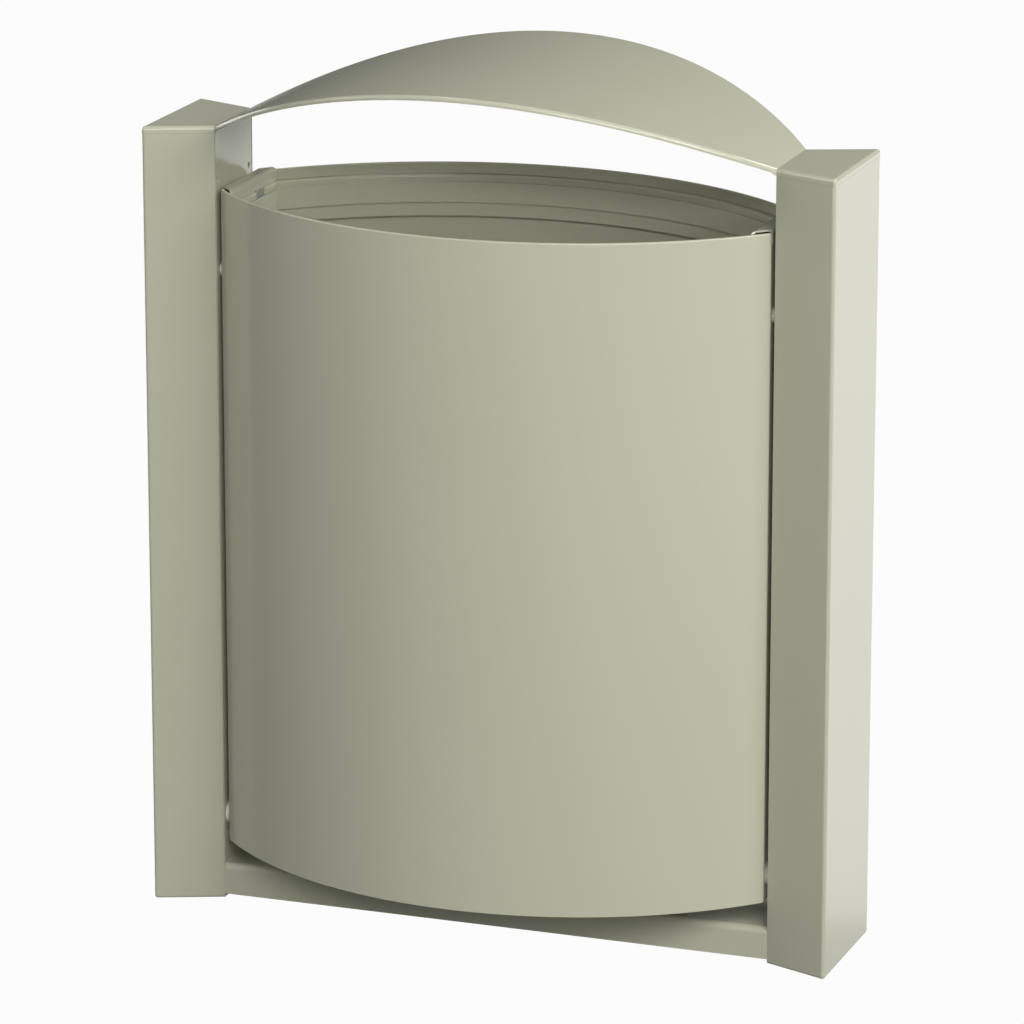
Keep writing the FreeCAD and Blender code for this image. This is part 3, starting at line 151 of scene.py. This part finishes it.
def start(add, **settings):
    """A new primitive with its place in its mesh, open in edit mode."""
    deselect()
    add(**settings)
    bpy.ops.object.transform_apply(location=True, rotation=True, scale=True)
    piece = bpy.context.object
    bpy.ops.object.mode_set(mode="EDIT")
    return piece


def choose(piece, kind, wanted):
    """Selects the vertices, edges or faces in edit mode that are wanted."""
    bpy.ops.mesh.select_mode(type={"verts": "VERT", "edges": "EDGE", "faces": "FACE"}[kind])
    bpy.ops.mesh.select_all(action="DESELECT")
    mesh = bmesh.from_edit_mesh(piece.data)
    for item in getattr(mesh, kind):
        if wanted(item):
            item.select_set(True)
    bmesh.update_edit_mesh(piece.data)


def middle(item):
    """Middle of an edge or face."""
    total = Vector()
    for vert in item.verts:
        total += vert.co
    return total / len(item.verts)


def near(first, second):
    """Whether two lengths agree."""
    return abs(first - second) < NEAR


def is_upright(edge):
    """Whether an edge stands straight up."""
    first, second = (vert.co for vert in edge.verts)
    return near(first.x, second.x) and near(first.y, second.y)


def turns_more(edge, angle):
    """Whether the two faces at an edge turn by more than an angle."""
    return len(edge.link_faces) == 2 and edge.calc_face_angle() > angle


def extrude(x=0.0, y=0.0, z=0.0):
    """Extrudes what is selected by this much."""
    bpy.ops.mesh.extrude_region_move(TRANSFORM_OT_translate={"value": (x, y, z)})


def object_mode():
    """Leaves edit mode."""
    bpy.ops.object.mode_set(mode="OBJECT")


def modify(piece, kind, **settings):
    """Adds a modifier to a piece in object mode and applies it."""
    modifier = piece.modifiers.new(kind.lower(), kind)
    for name, value in settings.items():
        setattr(modifier, name, value)
    bpy.context.view_layer.objects.active = piece
    bpy.ops.object.modifier_apply(modifier=modifier.name)


def thicken(piece, sheet, inside, hollow=False, even=True):
    """Thickens an open sheet in edit mode on the side of a point, or on the far side of it."""
    bpy.ops.mesh.select_all(action="SELECT")
    bpy.ops.mesh.remove_doubles(threshold=MERGE)
    bpy.ops.mesh.normals_make_consistent(inside=False)
    faces = bmesh.from_edit_mesh(piece.data).faces
    outwards = sum(face.calc_area() * face.normal.dot(face.calc_center_median() - inside)
                   for face in faces)
    if (outwards < 0) != hollow:
        bpy.ops.mesh.flip_normals()
    object_mode()
    modify(piece, "SOLIDIFY", thickness=sheet, offset=-1, use_even_offset=even)


def smooth(piece, angle=ROUND_TURN):
    """Smooth bends, crisp folds and flat sheets that stay flat."""
    deselect()
    piece.select_set(True)
    bpy.context.view_layer.objects.active = piece
    bpy.ops.object.shade_smooth_by_angle(angle=math.radians(angle))
    modify(piece, "WEIGHTED_NORMAL", keep_sharp=True)


def soften_edges(piece, width):
    """A narrow bevel on the folds and cut edges of a piece in object mode."""
    modify(piece, "BEVEL", width=width, segments=2, limit_method="ANGLE", angle_limit=FOLD,
           use_clamp_overlap=True)


def join(pieces):
    """Joins pieces into the first one."""
    deselect()
    for piece in pieces:
        piece.select_set(True)
    bpy.context.view_layer.objects.active = pieces[0]
    bpy.ops.object.join()
    return pieces[0]


def complete(piece, name, node):
    """Names a finished piece and puts it in a node's place, on its body and in its finish."""
    piece.name = name
    piece.data.name = name
    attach(piece, BODY_OF[node])
    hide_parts(node)
    piece.data.materials.clear()
    piece.data.materials.append(finishes[SLOT_OF[node]])
    return piece


# Materials
def add_node(tree, kind, **inputs):
    """A shader node with its unlinked sockets set."""
    node = tree.nodes.new(kind)
    for name, value in inputs.items():
        node.inputs[name.replace("_", " ")].default_value = value
    return node


def mottle_group():
    """Cloudy tone and fine skin of a surface, on object coordinates."""
    group = bpy.data.node_groups.new("mottled_skin", "ShaderNodeTree")
    for name, value in (("Cloud Scale", 6.0), ("Skin Scale", 900.0)):
        socket = group.interface.new_socket(name, in_out="INPUT", socket_type="NodeSocketFloat")
        socket.default_value = value
    for name in ("Cloud", "Skin"):
        group.interface.new_socket(name, in_out="OUTPUT", socket_type="NodeSocketFloat")
    entry = group.nodes.new("NodeGroupInput")
    leave = group.nodes.new("NodeGroupOutput")
    place = group.nodes.new("ShaderNodeTexCoord")
    for name, detail in (("Cloud", 3.0), ("Skin", 1.0)):
        noise = add_node(group, "ShaderNodeTexNoise", Detail=detail, Roughness=0.5)
        group.links.new(place.outputs["Object"], noise.inputs["Vector"])
        group.links.new(entry.outputs[name + " Scale"], noise.inputs["Scale"])
        group.links.new(noise.outputs["Fac"], leave.inputs[name])
    return group


def finish_material(name, tones, gloss, cloud, skin, depth, **sockets):
    """A procedural finish: two close tones and roughnesses in clouds, and a fine skin."""
    material = bpy.data.materials.new(name)
    material.use_nodes = True
    tree = material.node_tree
    shader = tree.nodes["Principled BSDF"]
    for socket, value in sockets.items():
        shader.inputs[socket.replace("_", " ")].default_value = value
    mottle = tree.nodes.new("ShaderNodeGroup")
    mottle.node_tree = mottled_skin
    mottle.inputs["Cloud Scale"].default_value = cloud
    mottle.inputs["Skin Scale"].default_value = skin
    tone = tree.nodes.new("ShaderNodeMix")
    tone.data_type = "RGBA"
    tone.inputs["A"].default_value = (*tones[0], 1)
    tone.inputs["B"].default_value = (*tones[1], 1)
    rough = add_node(tree, "ShaderNodeMapRange", To_Min=gloss[0], To_Max=gloss[1])
    bump = add_node(tree, "ShaderNodeBump", Distance=depth)
    tree.links.new(mottle.outputs["Cloud"], tone.inputs["Factor"])
    tree.links.new(mottle.outputs["Cloud"], rough.inputs["Value"])
    tree.links.new(mottle.outputs["Skin"], bump.inputs["Height"])
    tree.links.new(tone.outputs["Result"], shader.inputs["Base Color"])
    tree.links.new(rough.outputs["Result"], shader.inputs["Roughness"])
    tree.links.new(bump.outputs["Normal"], shader.inputs["Normal"])
    return material


mottled_skin = mottle_group()
finishes = {
    "powder_coat": finish_material("pebble_grey_powder_coat",
                                   ((0.47, 0.475, 0.36), (0.49, 0.495, 0.38)), (0.12, 0.16),
                                   5.0, 700.0, 0.00002),
    "zinc": finish_material("bright_zinc", ((0.52, 0.53, 0.54), (0.66, 0.67, 0.68)), (0.3, 0.42),
                            160.0, 1500.0, 0.00001, Metallic=1.0),
    "chrome": finish_material("polished_chrome", ((0.66, 0.67, 0.68), (0.72, 0.73, 0.74)),
                              (0.08, 0.14), 60.0, 1500.0, 0.000004, Metallic=1.0),
    "nylon": finish_material("natural_nylon", ((0.74, 0.72, 0.64), (0.80, 0.78, 0.70)),
                             (0.42, 0.5), 80.0, 1200.0, 0.00001),
    "rubber": finish_material("black_rubber", ((0.018, 0.018, 0.018), (0.03, 0.03, 0.03)),
                              (0.6, 0.75), 90.0, 1600.0, 0.00003),
}


# Curved front and rear sheets of the bin, with a hem folded inwards round the rim
def curved_panel(name, node, front):
    low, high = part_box(node)
    bulge = abs((low.y if front < 0 else high.y) - middle_y) - bin_half_depth
    radius = circle_radius(high.x, bulge)
    axis = Vector((0, middle_y - front * (radius - bulge - bin_half_depth), (low.z + high.z) / 2))
    piece = start(bpy.ops.mesh.primitive_cylinder_add, vertices=FULL_TURN, radius=radius,
                  depth=high.z - low.z, end_fill_type="NOTHING", location=axis)
    bpy.ops.mesh.select_all(action="SELECT")
    bpy.ops.mesh.bisect(plane_co=(0, middle_y + front * bin_half_depth, 0), plane_no=(0, front, 0),
                        clear_inner=True)
    inner = (radius - HEM_REACH) / radius
    choose(piece, "edges", lambda edge: all(near(vert.co.z, high.z) for vert in edge.verts))
    extrude()
    bpy.ops.transform.resize(value=(inner, inner, 1), center_override=axis)
    extrude(z=-HEM_HEIGHT)
    choose(piece, "edges", lambda edge: turns_more(edge, FOLD)
           and all(near(vert.co.z, high.z) for vert in edge.verts))
    bpy.ops.mesh.bevel(offset=HEM_BEND, segments=NARROW_BEND, affect="EDGES")
    thicken(piece, SHEET["bin"], axis)
    smooth(piece)
    return complete(piece, name, node)


# Hood: one sheet that caps both posts and arches over the bin, with a lip all round
LIP_SLOPE = 0.3  # upward part of a lip face's normal, at most
TOP_SLOPE = 0.6  # upward part of an upper face's normal, at least


def is_outer_rim(edge):
    """Whether an upper face and the upright lip meet at this edge."""
    slopes = sorted(abs(face.normal.z) for face in edge.link_faces)
    return len(slopes) == 2 and slopes[0] < LIP_SLOPE and slopes[1] > TOP_SLOPE


def hood_sheet():
    bulge = middle_y - hood_low.y - face_half_depth
    plan_radius = circle_radius(post_in_x, bulge)
    rise = hood_high.z - cap_top
    arch_radius = circle_radius(post_in_x, rise)
    deselect()
    bpy.ops.mesh.primitive_cylinder_add(vertices=ARCH_SIDES, radius=arch_radius, depth=1,
                                        location=(0, middle_y, hood_high.z - arch_radius),
                                        rotation=(math.pi / 2, 0, 0))
    arch = bpy.context.object
    piece = start(bpy.ops.mesh.primitive_circle_add, vertices=FULL_TURN, radius=plan_radius,
                  location=(0, middle_y + plan_radius - bulge - face_half_depth, hood_high.z))
    bpy.ops.mesh.select_all(action="SELECT")
    bpy.ops.mesh.bisect(plane_co=(0, middle_y - face_half_depth, 0), plane_no=(0, 1, 0),
                        clear_outer=True)
    bpy.ops.mesh.select_all(action="DESELECT")
    bpy.ops.mesh.primitive_circle_add(vertices=FULL_TURN, radius=plan_radius,
                                      location=(0, middle_y - plan_radius + bulge + face_half_depth,
                                                hood_high.z))
    bpy.ops.mesh.bisect(plane_co=(0, middle_y + face_half_depth, 0), plane_no=(0, 1, 0),
                        clear_inner=True)
    bpy.ops.mesh.select_all(action="SELECT")
    bpy.ops.mesh.bridge_edge_loops(number_cuts=ARCH_ROWS, interpolation="LINEAR")
    object_mode()
    modify(piece, "SHRINKWRAP", target=arch, wrap_method="PROJECT", use_project_z=True,
           use_negative_direction=True, use_positive_direction=True)
    bpy.data.objects.remove(arch)
    bpy.ops.object.mode_set(mode="EDIT")
    flare = post_half_depth / face_half_depth
    for side in (-1, 1):
        choose(piece, "edges", lambda edge: all(near(vert.co.x, side * post_in_x)
                                                for vert in edge.verts))
        extrude(x=side * (post_out_x - post_in_x))
        bpy.ops.transform.resize(value=(1, flare, 1), center_override=(0, middle_y, 0))
    choose(piece, "edges", lambda edge: edge.is_boundary)
    cap_lip = HOOD_LIP + HOOD_SEAM - SEAM_OPEN
    extrude(z=-cap_lip)
    choose(piece, "verts", lambda vert: vert.is_boundary and abs(vert.co.x) < post_in_x - NEAR)
    bpy.ops.transform.translate(value=(0, 0, cap_lip - ARCH_LIP))
    choose(piece, "edges", lambda edge: is_outer_rim(edge) or is_upright(edge)
           and near(abs(edge.verts[0].co.x), post_out_x)
           and near(abs(edge.verts[0].co.y - middle_y), post_half_depth))
    bpy.ops.mesh.bevel(offset=HOOD_BEND, segments=BEND, affect="EDGES")
    thicken(piece, SHEET["hood"], Vector((0, middle_y, foot_z)), even=False)
    smooth(piece, angle=SHEET_TURN)
    return complete(piece, "hood_sheet", "hood")


# Posts: a folded shell, open at its top and on its inner side, with a closed foot and two lips
def folded_post(name, node, side):
    inner_x = side * post_in_x
    outer_x = side * post_out_x
    piece = start(bpy.ops.mesh.primitive_cube_add, size=1,
                  location=((inner_x + outer_x) / 2, middle_y, (foot_z + shell_top) / 2),
                  scale=(post_out_x - post_in_x, 2 * face_half_depth, shell_top - foot_z))
    choose(piece, "verts", lambda vert: near(vert.co.x, outer_x))
    bpy.ops.transform.resize(value=(1, post_half_depth / face_half_depth, 1),
                             center_override=(0, middle_y, 0))
    choose(piece, "faces", lambda face: near(middle(face).x, inner_x)
           or near(middle(face).z, shell_top))
    bpy.ops.mesh.delete(type="FACE")
    choose(piece, "edges", lambda edge: all(near(vert.co.x, outer_x) for vert in edge.verts)
           and not near(edge.verts[0].co.z, edge.verts[1].co.z))
    bpy.ops.mesh.bevel(offset=POST_BEND, segments=WIDE_BEND, affect="EDGES")
    choose(piece, "edges", lambda edge: not edge.is_boundary
           and all(near(vert.co.z, foot_z) for vert in edge.verts))
    bpy.ops.mesh.bevel(offset=FOOT_BEND, segments=BEND, affect="EDGES", clamp_overlap=True)
    thicken(piece, SHEET["post"], Vector((inner_x, middle_y, shell_top)))
    plate_back_x = inner_x + side * SHEET["post"]
    lips = [piece]
    for way in (-1, 1):
        lip_y = middle_y + way * (face_half_depth - SHEET["post"] - RETURN_LIP / 2)
        lip = start(bpy.ops.mesh.primitive_cube_add, size=1,
                    location=(plate_back_x + side * SHEET["post"] / 2, lip_y,
                              (foot_z + shell_top + SHEET["post"]) / 2),
                    scale=(SHEET["post"], RETURN_LIP, shell_top - foot_z - SHEET["post"]))
        object_mode()
        soften_edges(lip, CUT_EDGE)
        lips.append(lip)
    piece = join(lips)
    smooth(piece, angle=SHEET_TURN)
    return complete(piece, name, node)


# Beam between the posts: a channel, open below, with closed ends
def beam_channel():
    size = beam_high - beam_low
    piece = start(bpy.ops.mesh.primitive_cube_add, size=1, location=(beam_low + beam_high) / 2,
                  scale=size)
    choose(piece, "faces", lambda face: near(middle(face).z, beam_low.z))
    bpy.ops.mesh.delete(type="FACE")
    choose(piece, "edges", lambda edge: all(near(vert.co.z, beam_high.z) for vert in edge.verts)
           and not near(edge.verts[0].co.x, edge.verts[1].co.x))
    bpy.ops.mesh.bevel(offset=BEAM_BEND, segments=WIDE_BEND, affect="EDGES")
    thicken(piece, SHEET["beam"], Vector((0, middle_y, beam_low.z)))
    smooth(piece, angle=SHEET_TURN)
    return complete(piece, "beam_channel", "bottom_beam")


# Sides of the bin: a flat sheet with weld flanges and a strip folded over its top
def drill(piece, node, side):
    """Cuts the hole in a side for a fastener of another node."""
    low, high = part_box(node)
    place = (low + high) / 2
    deselect()
    bpy.ops.mesh.primitive_cylinder_add(vertices=DRILL_SIDES, radius=HOLES[node], depth=DRILL_LENGTH,
                                        location=(side * bin_half_width, place.y, place.z),
                                        rotation=(0, math.pi / 2, 0))
    drill_bit = bpy.context.object
    modify(piece, "BOOLEAN", object=drill_bit, operation="DIFFERENCE", solver="EXACT")
    bpy.data.objects.remove(drill_bit)


def folded_side(name, node, side):
    low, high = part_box(node)
    strip_top = high.z - STRIP_SINK
    flange_top = collar_high.z - SHEET["bin"] - WELD_GAP
    side_x = side * bin_half_width
    strip_x = bin_half_width - STRIP_WIDTH
    side_depth = lens_depth(weld_radius, bin_half_width)
    hem_depth = lens_depth(bin_radius - HEM_REACH - WELD_GAP, bin_half_width)
    strip_depth = lens_depth(bin_radius - HEM_REACH - WELD_GAP, strip_x)
    piece = start(bpy.ops.mesh.primitive_plane_add, size=1, rotation=(0, math.pi / 2, 0),
                  location=(side_x, middle_y, (low.z + flange_top) / 2))
    bpy.ops.mesh.select_all(action="SELECT")
    bpy.ops.transform.resize(value=(1, 2 * side_depth, flange_top - low.z),
                             center_override=(side_x, middle_y, (low.z + flange_top) / 2))
    choose(piece, "edges", lambda edge: all(near(vert.co.z, flange_top) for vert in edge.verts))
    extrude(z=STRIP_STEP)
    bpy.ops.transform.resize(value=(1, hem_depth / side_depth, 1), center_override=(0, middle_y, 0))
    extrude(z=strip_top - flange_top - STRIP_STEP)
    extrude(x=-side * STRIP_WIDTH)
    bpy.ops.transform.resize(value=(1, strip_depth / hem_depth, 1), center_override=(0, middle_y, 0))
    extrude(z=collar_high.z + WELD_GAP - strip_top)
    choose(piece, "edges", lambda edge: turns_more(edge, FOLD))
    bpy.ops.mesh.bevel(offset=STRIP_BEND, segments=WIDE_BEND, affect="EDGES")
    for front in (-1, 1):
        choose(piece, "edges", lambda edge: is_upright(edge) and near(edge.verts[0].co.x, side_x)
               and near(edge.verts[0].co.y, middle_y + front * side_depth)
               and middle(edge).z < flange_top)
        for step in range(FLANGE_STEPS):
            start_x = bin_half_width - step * FLANGE_REACH / FLANGE_STEPS
            end_x = start_x - FLANGE_REACH / FLANGE_STEPS
            outwards = lens_depth(weld_radius, end_x) - lens_depth(weld_radius, start_x)
            extrude(x=side * (end_x - start_x), y=front * outwards)
    thicken(piece, SHEET["bin"], Vector((side * strip_x, middle_y, (low.z + high.z) / 2)))
    for fastener in ("pivot_bushes", "glide_buttons"):
        drill(piece, fastener, side)
    if side < 0:
        drill(piece, "lock_keeper", side)
    smooth(piece)
    return complete(piece, name, node)


# Collar inside the rim: a flange with a skirt that hangs from it
def lens_loop(radius, half_width, z):
    """Outline of the bin's lens: two arcs and two straight sides, open in edit mode."""
    depth = lens_depth(radius, half_width)
    piece = start(bpy.ops.mesh.primitive_circle_add, vertices=FULL_TURN, radius=radius,
                  location=(0, middle_y + axis_reach, z))
    bpy.ops.mesh.select_all(action="SELECT")
    bpy.ops.mesh.bisect(plane_co=(0, middle_y - depth, 0), plane_no=(0, 1, 0), clear_outer=True)
    bpy.ops.mesh.select_all(action="DESELECT")
    bpy.ops.mesh.primitive_circle_add(vertices=FULL_TURN, radius=radius,
                                      location=(0, middle_y - axis_reach, z))
    bpy.ops.mesh.bisect(plane_co=(0, middle_y + depth, 0), plane_no=(0, 1, 0), clear_inner=True)
    for side in (-1, 1):
        choose(piece, "verts", lambda vert: near(vert.co.x, side * half_width)
               and near(abs(vert.co.y - middle_y), depth))
        bpy.ops.mesh.edge_face_add()
    return piece


def rim_collar():
    top = collar_high.z
    lifted = top + COLLAR_INSET
    skirt_radius = bin_radius - COLLAR_INSET - SHEET["bin"]
    skirt_half_width = bin_half_width - STRIP_WIDTH - SHEET["bin"]
    piece = lens_loop(skirt_radius, skirt_half_width, top)
    bpy.ops.mesh.select_all(action="SELECT")
    extrude(z=collar_low.z - top)
    choose(piece, "edges", lambda edge: all(near(vert.co.z, top) for vert in edge.verts))
    extrude(z=COLLAR_INSET)
    outwards = weld_radius / skirt_radius
    for front in (-1, 1):
        choose(piece, "verts", lambda vert: near(vert.co.z, lifted)
               and (vert.co.y - middle_y) * front > 0)
        bpy.ops.transform.resize(value=(outwards, outwards, 1),
                                 center_override=(0, middle_y - front * axis_reach, lifted))
    choose(piece, "verts", lambda vert: near(vert.co.z, lifted))
    bpy.ops.transform.translate(value=(0, 0, -COLLAR_INSET))
    choose(piece, "edges", lambda edge: turns_more(edge, FOLD)
           and all(near(vert.co.z, top) for vert in edge.verts))
    bpy.ops.mesh.bevel(offset=COLLAR_BEND, segments=BEND, affect="EDGES")
    thicken(piece, SHEET["bin"], Vector((0, middle_y, collar_low.z)), hollow=True, even=False)
    smooth(piece)
    return complete(piece, "rim_collar", "bag_collar")


# Other pieces: the CAD solid with its corners merged and its round faces smooth
def softened(node):
    deselect()
    source = frame["nodes"][node]
    source.select_set(True)
    bpy.context.view_layer.objects.active = source
    bpy.ops.object.duplicate()
    piece = bpy.context.object
    del piece["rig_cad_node"]
    bpy.ops.object.mode_set(mode="EDIT")
    bpy.ops.mesh.select_all(action="SELECT")
    bpy.ops.mesh.remove_doubles(threshold=MERGE)
    object_mode()
    smooth(piece)
    return complete(piece, node + "_smooth", node)


# The modelled sheets, and every other node
curved_panel("front_sheet", "front_panel", -1)
curved_panel("rear_sheet", "rear_panel", 1)
hood_sheet()
folded_post("left_post", "left_post_shell", -1)
folded_post("right_post", "right_post_shell", 1)
beam_channel()
folded_side("left_side", "left_side_panel", -1)
folded_side("right_side", "right_side_panel", 1)
rim_collar()
MODELLED = ("front_panel", "rear_panel", "hood", "left_post_shell", "right_post_shell",
            "bottom_beam", "left_side_panel", "right_side_panel", "bag_collar")
for node in sorted(BODY_OF):
    if node not in MODELLED:
        softened(node)


# Floor, light and camera
FLOOR_DROP = 0.45  # floor below the posts' feet
FLOOR_SIZE = 14.0
FLOOR_PLACE = (3.5, 3.5)
FLOOR_COLOUR = (0.08, 0.08, 0.08, 1)
FLOOR_ROUGHNESS = 0.9
FLOOR_WHITE = 0.97  # share of plain white that the camera sees
FLOOR_MIRRORED = (0.08, 0.75)  # share that glossy paint mirrors, in front and towards the wall
FLOOR_SHADE = (0.0, 1.4)  # where that share changes, along y
SKY_LEVEL = 0.02
SKY_MIRRORED = 0.06
AIM = Vector((0, -0.17, 0))
CAMERA_PLACE = (1.734186, -4.954508, 1.445058)
CAMERA_DOWN = math.radians(15.648)
CAMERA_TURN = math.radians(19.882)
CAMERA_LENS = 208.614
CAMERA_SENSOR = 36.0


def background_share(tree, seen_white, mirrored_white):
    """Share of plain white: for the camera and through glass, and a part of it in a mirror."""
    rays = tree.nodes.new("ShaderNodeLightPath")
    seen = tree.nodes.new("ShaderNodeMath")
    seen.operation = "MAXIMUM"
    share = tree.nodes.new("ShaderNodeMath")
    share.operation = "MULTIPLY"
    share.inputs[1].default_value = seen_white
    mirrored = tree.nodes.new("ShaderNodeMath")
    mirrored.operation = "MULTIPLY_ADD"
    mirrored.inputs[1].default_value = mirrored_white
    tree.links.new(rays.outputs["Is Camera Ray"], seen.inputs[0])
    tree.links.new(rays.outputs["Is Transmission Ray"], seen.inputs[1])
    tree.links.new(seen.outputs[0], share.inputs[0])
    tree.links.new(rays.outputs["Is Glossy Ray"], mirrored.inputs[0])
    tree.links.new(share.outputs[0], mirrored.inputs[2])
    return mirrored


def studio_floor():
    """A floor that is white to the camera and keeps a faint shadow."""
    deselect()
    bpy.ops.mesh.primitive_plane_add(size=FLOOR_SIZE, location=(*FLOOR_PLACE, foot_z - FLOOR_DROP))
    floor = bpy.context.object
    floor.name = "studio_floor"
    material = bpy.data.materials.new("pale_floor")
    material.use_nodes = True
    tree = material.node_tree
    shader = tree.nodes["Principled BSDF"]
    shader.inputs["Base Color"].default_value = FLOOR_COLOUR
    shader.inputs["Roughness"].default_value = FLOOR_ROUGHNESS
    white = add_node(tree, "ShaderNodeEmission", Color=(1, 1, 1, 1), Strength=1.0)
    mix = tree.nodes.new("ShaderNodeMixShader")
    share = background_share(tree, FLOOR_WHITE, FLOOR_MIRRORED[0])
    place = tree.nodes.new("ShaderNodeNewGeometry")
    depth = tree.nodes.new("ShaderNodeSeparateXYZ")
    towards_wall = add_node(tree, "ShaderNodeMapRange", From_Min=FLOOR_SHADE[0],
                            From_Max=FLOOR_SHADE[1], To_Min=FLOOR_MIRRORED[0],
                            To_Max=FLOOR_MIRRORED[1])
    tree.links.new(place.outputs["Position"], depth.inputs[0])
    tree.links.new(depth.outputs["Y"], towards_wall.inputs["Value"])
    tree.links.new(towards_wall.outputs[0], share.inputs[1])
    tree.links.new(share.outputs[0], mix.inputs[0])
    tree.links.new(shader.outputs[0], mix.inputs[1])
    tree.links.new(white.outputs[0], mix.inputs[2])
    tree.links.new(mix.outputs[0], tree.nodes["Material Output"].inputs["Surface"])
    floor.data.materials.append(material)


def studio_world():
    """An even white surrounding that gives little light."""
    world = bpy.data.worlds.new("studio")
    bpy.context.scene.world = world
    world.use_nodes = True
    tree = world.node_tree
    light = tree.nodes["Background"]
    light.inputs["Color"].default_value = (1, 1, 1, 1)
    light.inputs["Strength"].default_value = SKY_LEVEL
    white = add_node(tree, "ShaderNodeBackground", Color=(1, 1, 1, 1), Strength=FLOOR_WHITE)
    mix = tree.nodes.new("ShaderNodeMixShader")
    tree.links.new(background_share(tree, 1.0, SKY_MIRRORED).outputs[0], mix.inputs[0])
    tree.links.new(light.outputs[0], mix.inputs[1])
    tree.links.new(white.outputs[0], mix.inputs[2])
    tree.links.new(mix.outputs[0], tree.nodes["World Output"].inputs["Surface"])


def softbox(name, place, width, height, power):
    """A rectangular lamp that faces the bin."""
    lamp = bpy.data.lights.new(name, "AREA")
    lamp.shape = "RECTANGLE"
    lamp.size = width
    lamp.size_y = height
    lamp.energy = power
    holder = bpy.data.objects.new(name, lamp)
    bpy.context.scene.collection.objects.link(holder)
    holder.location = place
    holder.rotation_euler = (AIM - Vector(place)).to_track_quat("-Z", "Y").to_euler()
    holder.visible_camera = False


def photo_camera():
    """The camera at the photograph's angle."""
    camera = bpy.data.cameras.new("camera")
    camera.sensor_width = CAMERA_SENSOR
    camera.lens = CAMERA_LENS
    holder = bpy.data.objects.new("camera", camera)
    bpy.context.scene.collection.objects.link(holder)
    holder.location = CAMERA_PLACE
    holder.rotation_euler = (math.pi / 2 - CAMERA_DOWN, 0, CAMERA_TURN)
    bpy.context.scene.camera = holder


studio_floor()
studio_world()
softbox("key_softbox", (2.2, -4.1, 2.03), 2.8, 2.8, 142)
softbox("right_softbox", (3.84, -1.96, 2.65), 2.2, 2.2, 140)
softbox("left_softbox", (-3.98, -1.62, 2.65), 2.2, 2.2, 38)
softbox("left_fill_softbox", (-4.46, 1.9, 0.87), 2.2, 2.2, 45)
softbox("front_strip_light", (-0.3, -3.6, 2.0), 7.0, 0.2, 28)
softbox("rear_right_softbox", (2.73, 3.08, 2.65), 2.2, 2.2, 132)
softbox("top_softbox", (-1.43, -0.1, 4.5), 2.0, 0.8, 17)
softbox("low_rear_softbox", (0.65, 1.2, -0.3), 1.2, 1.0, 2.0)
photo_camera()
bpy.context.scene.view_settings.view_transform = "Standard"
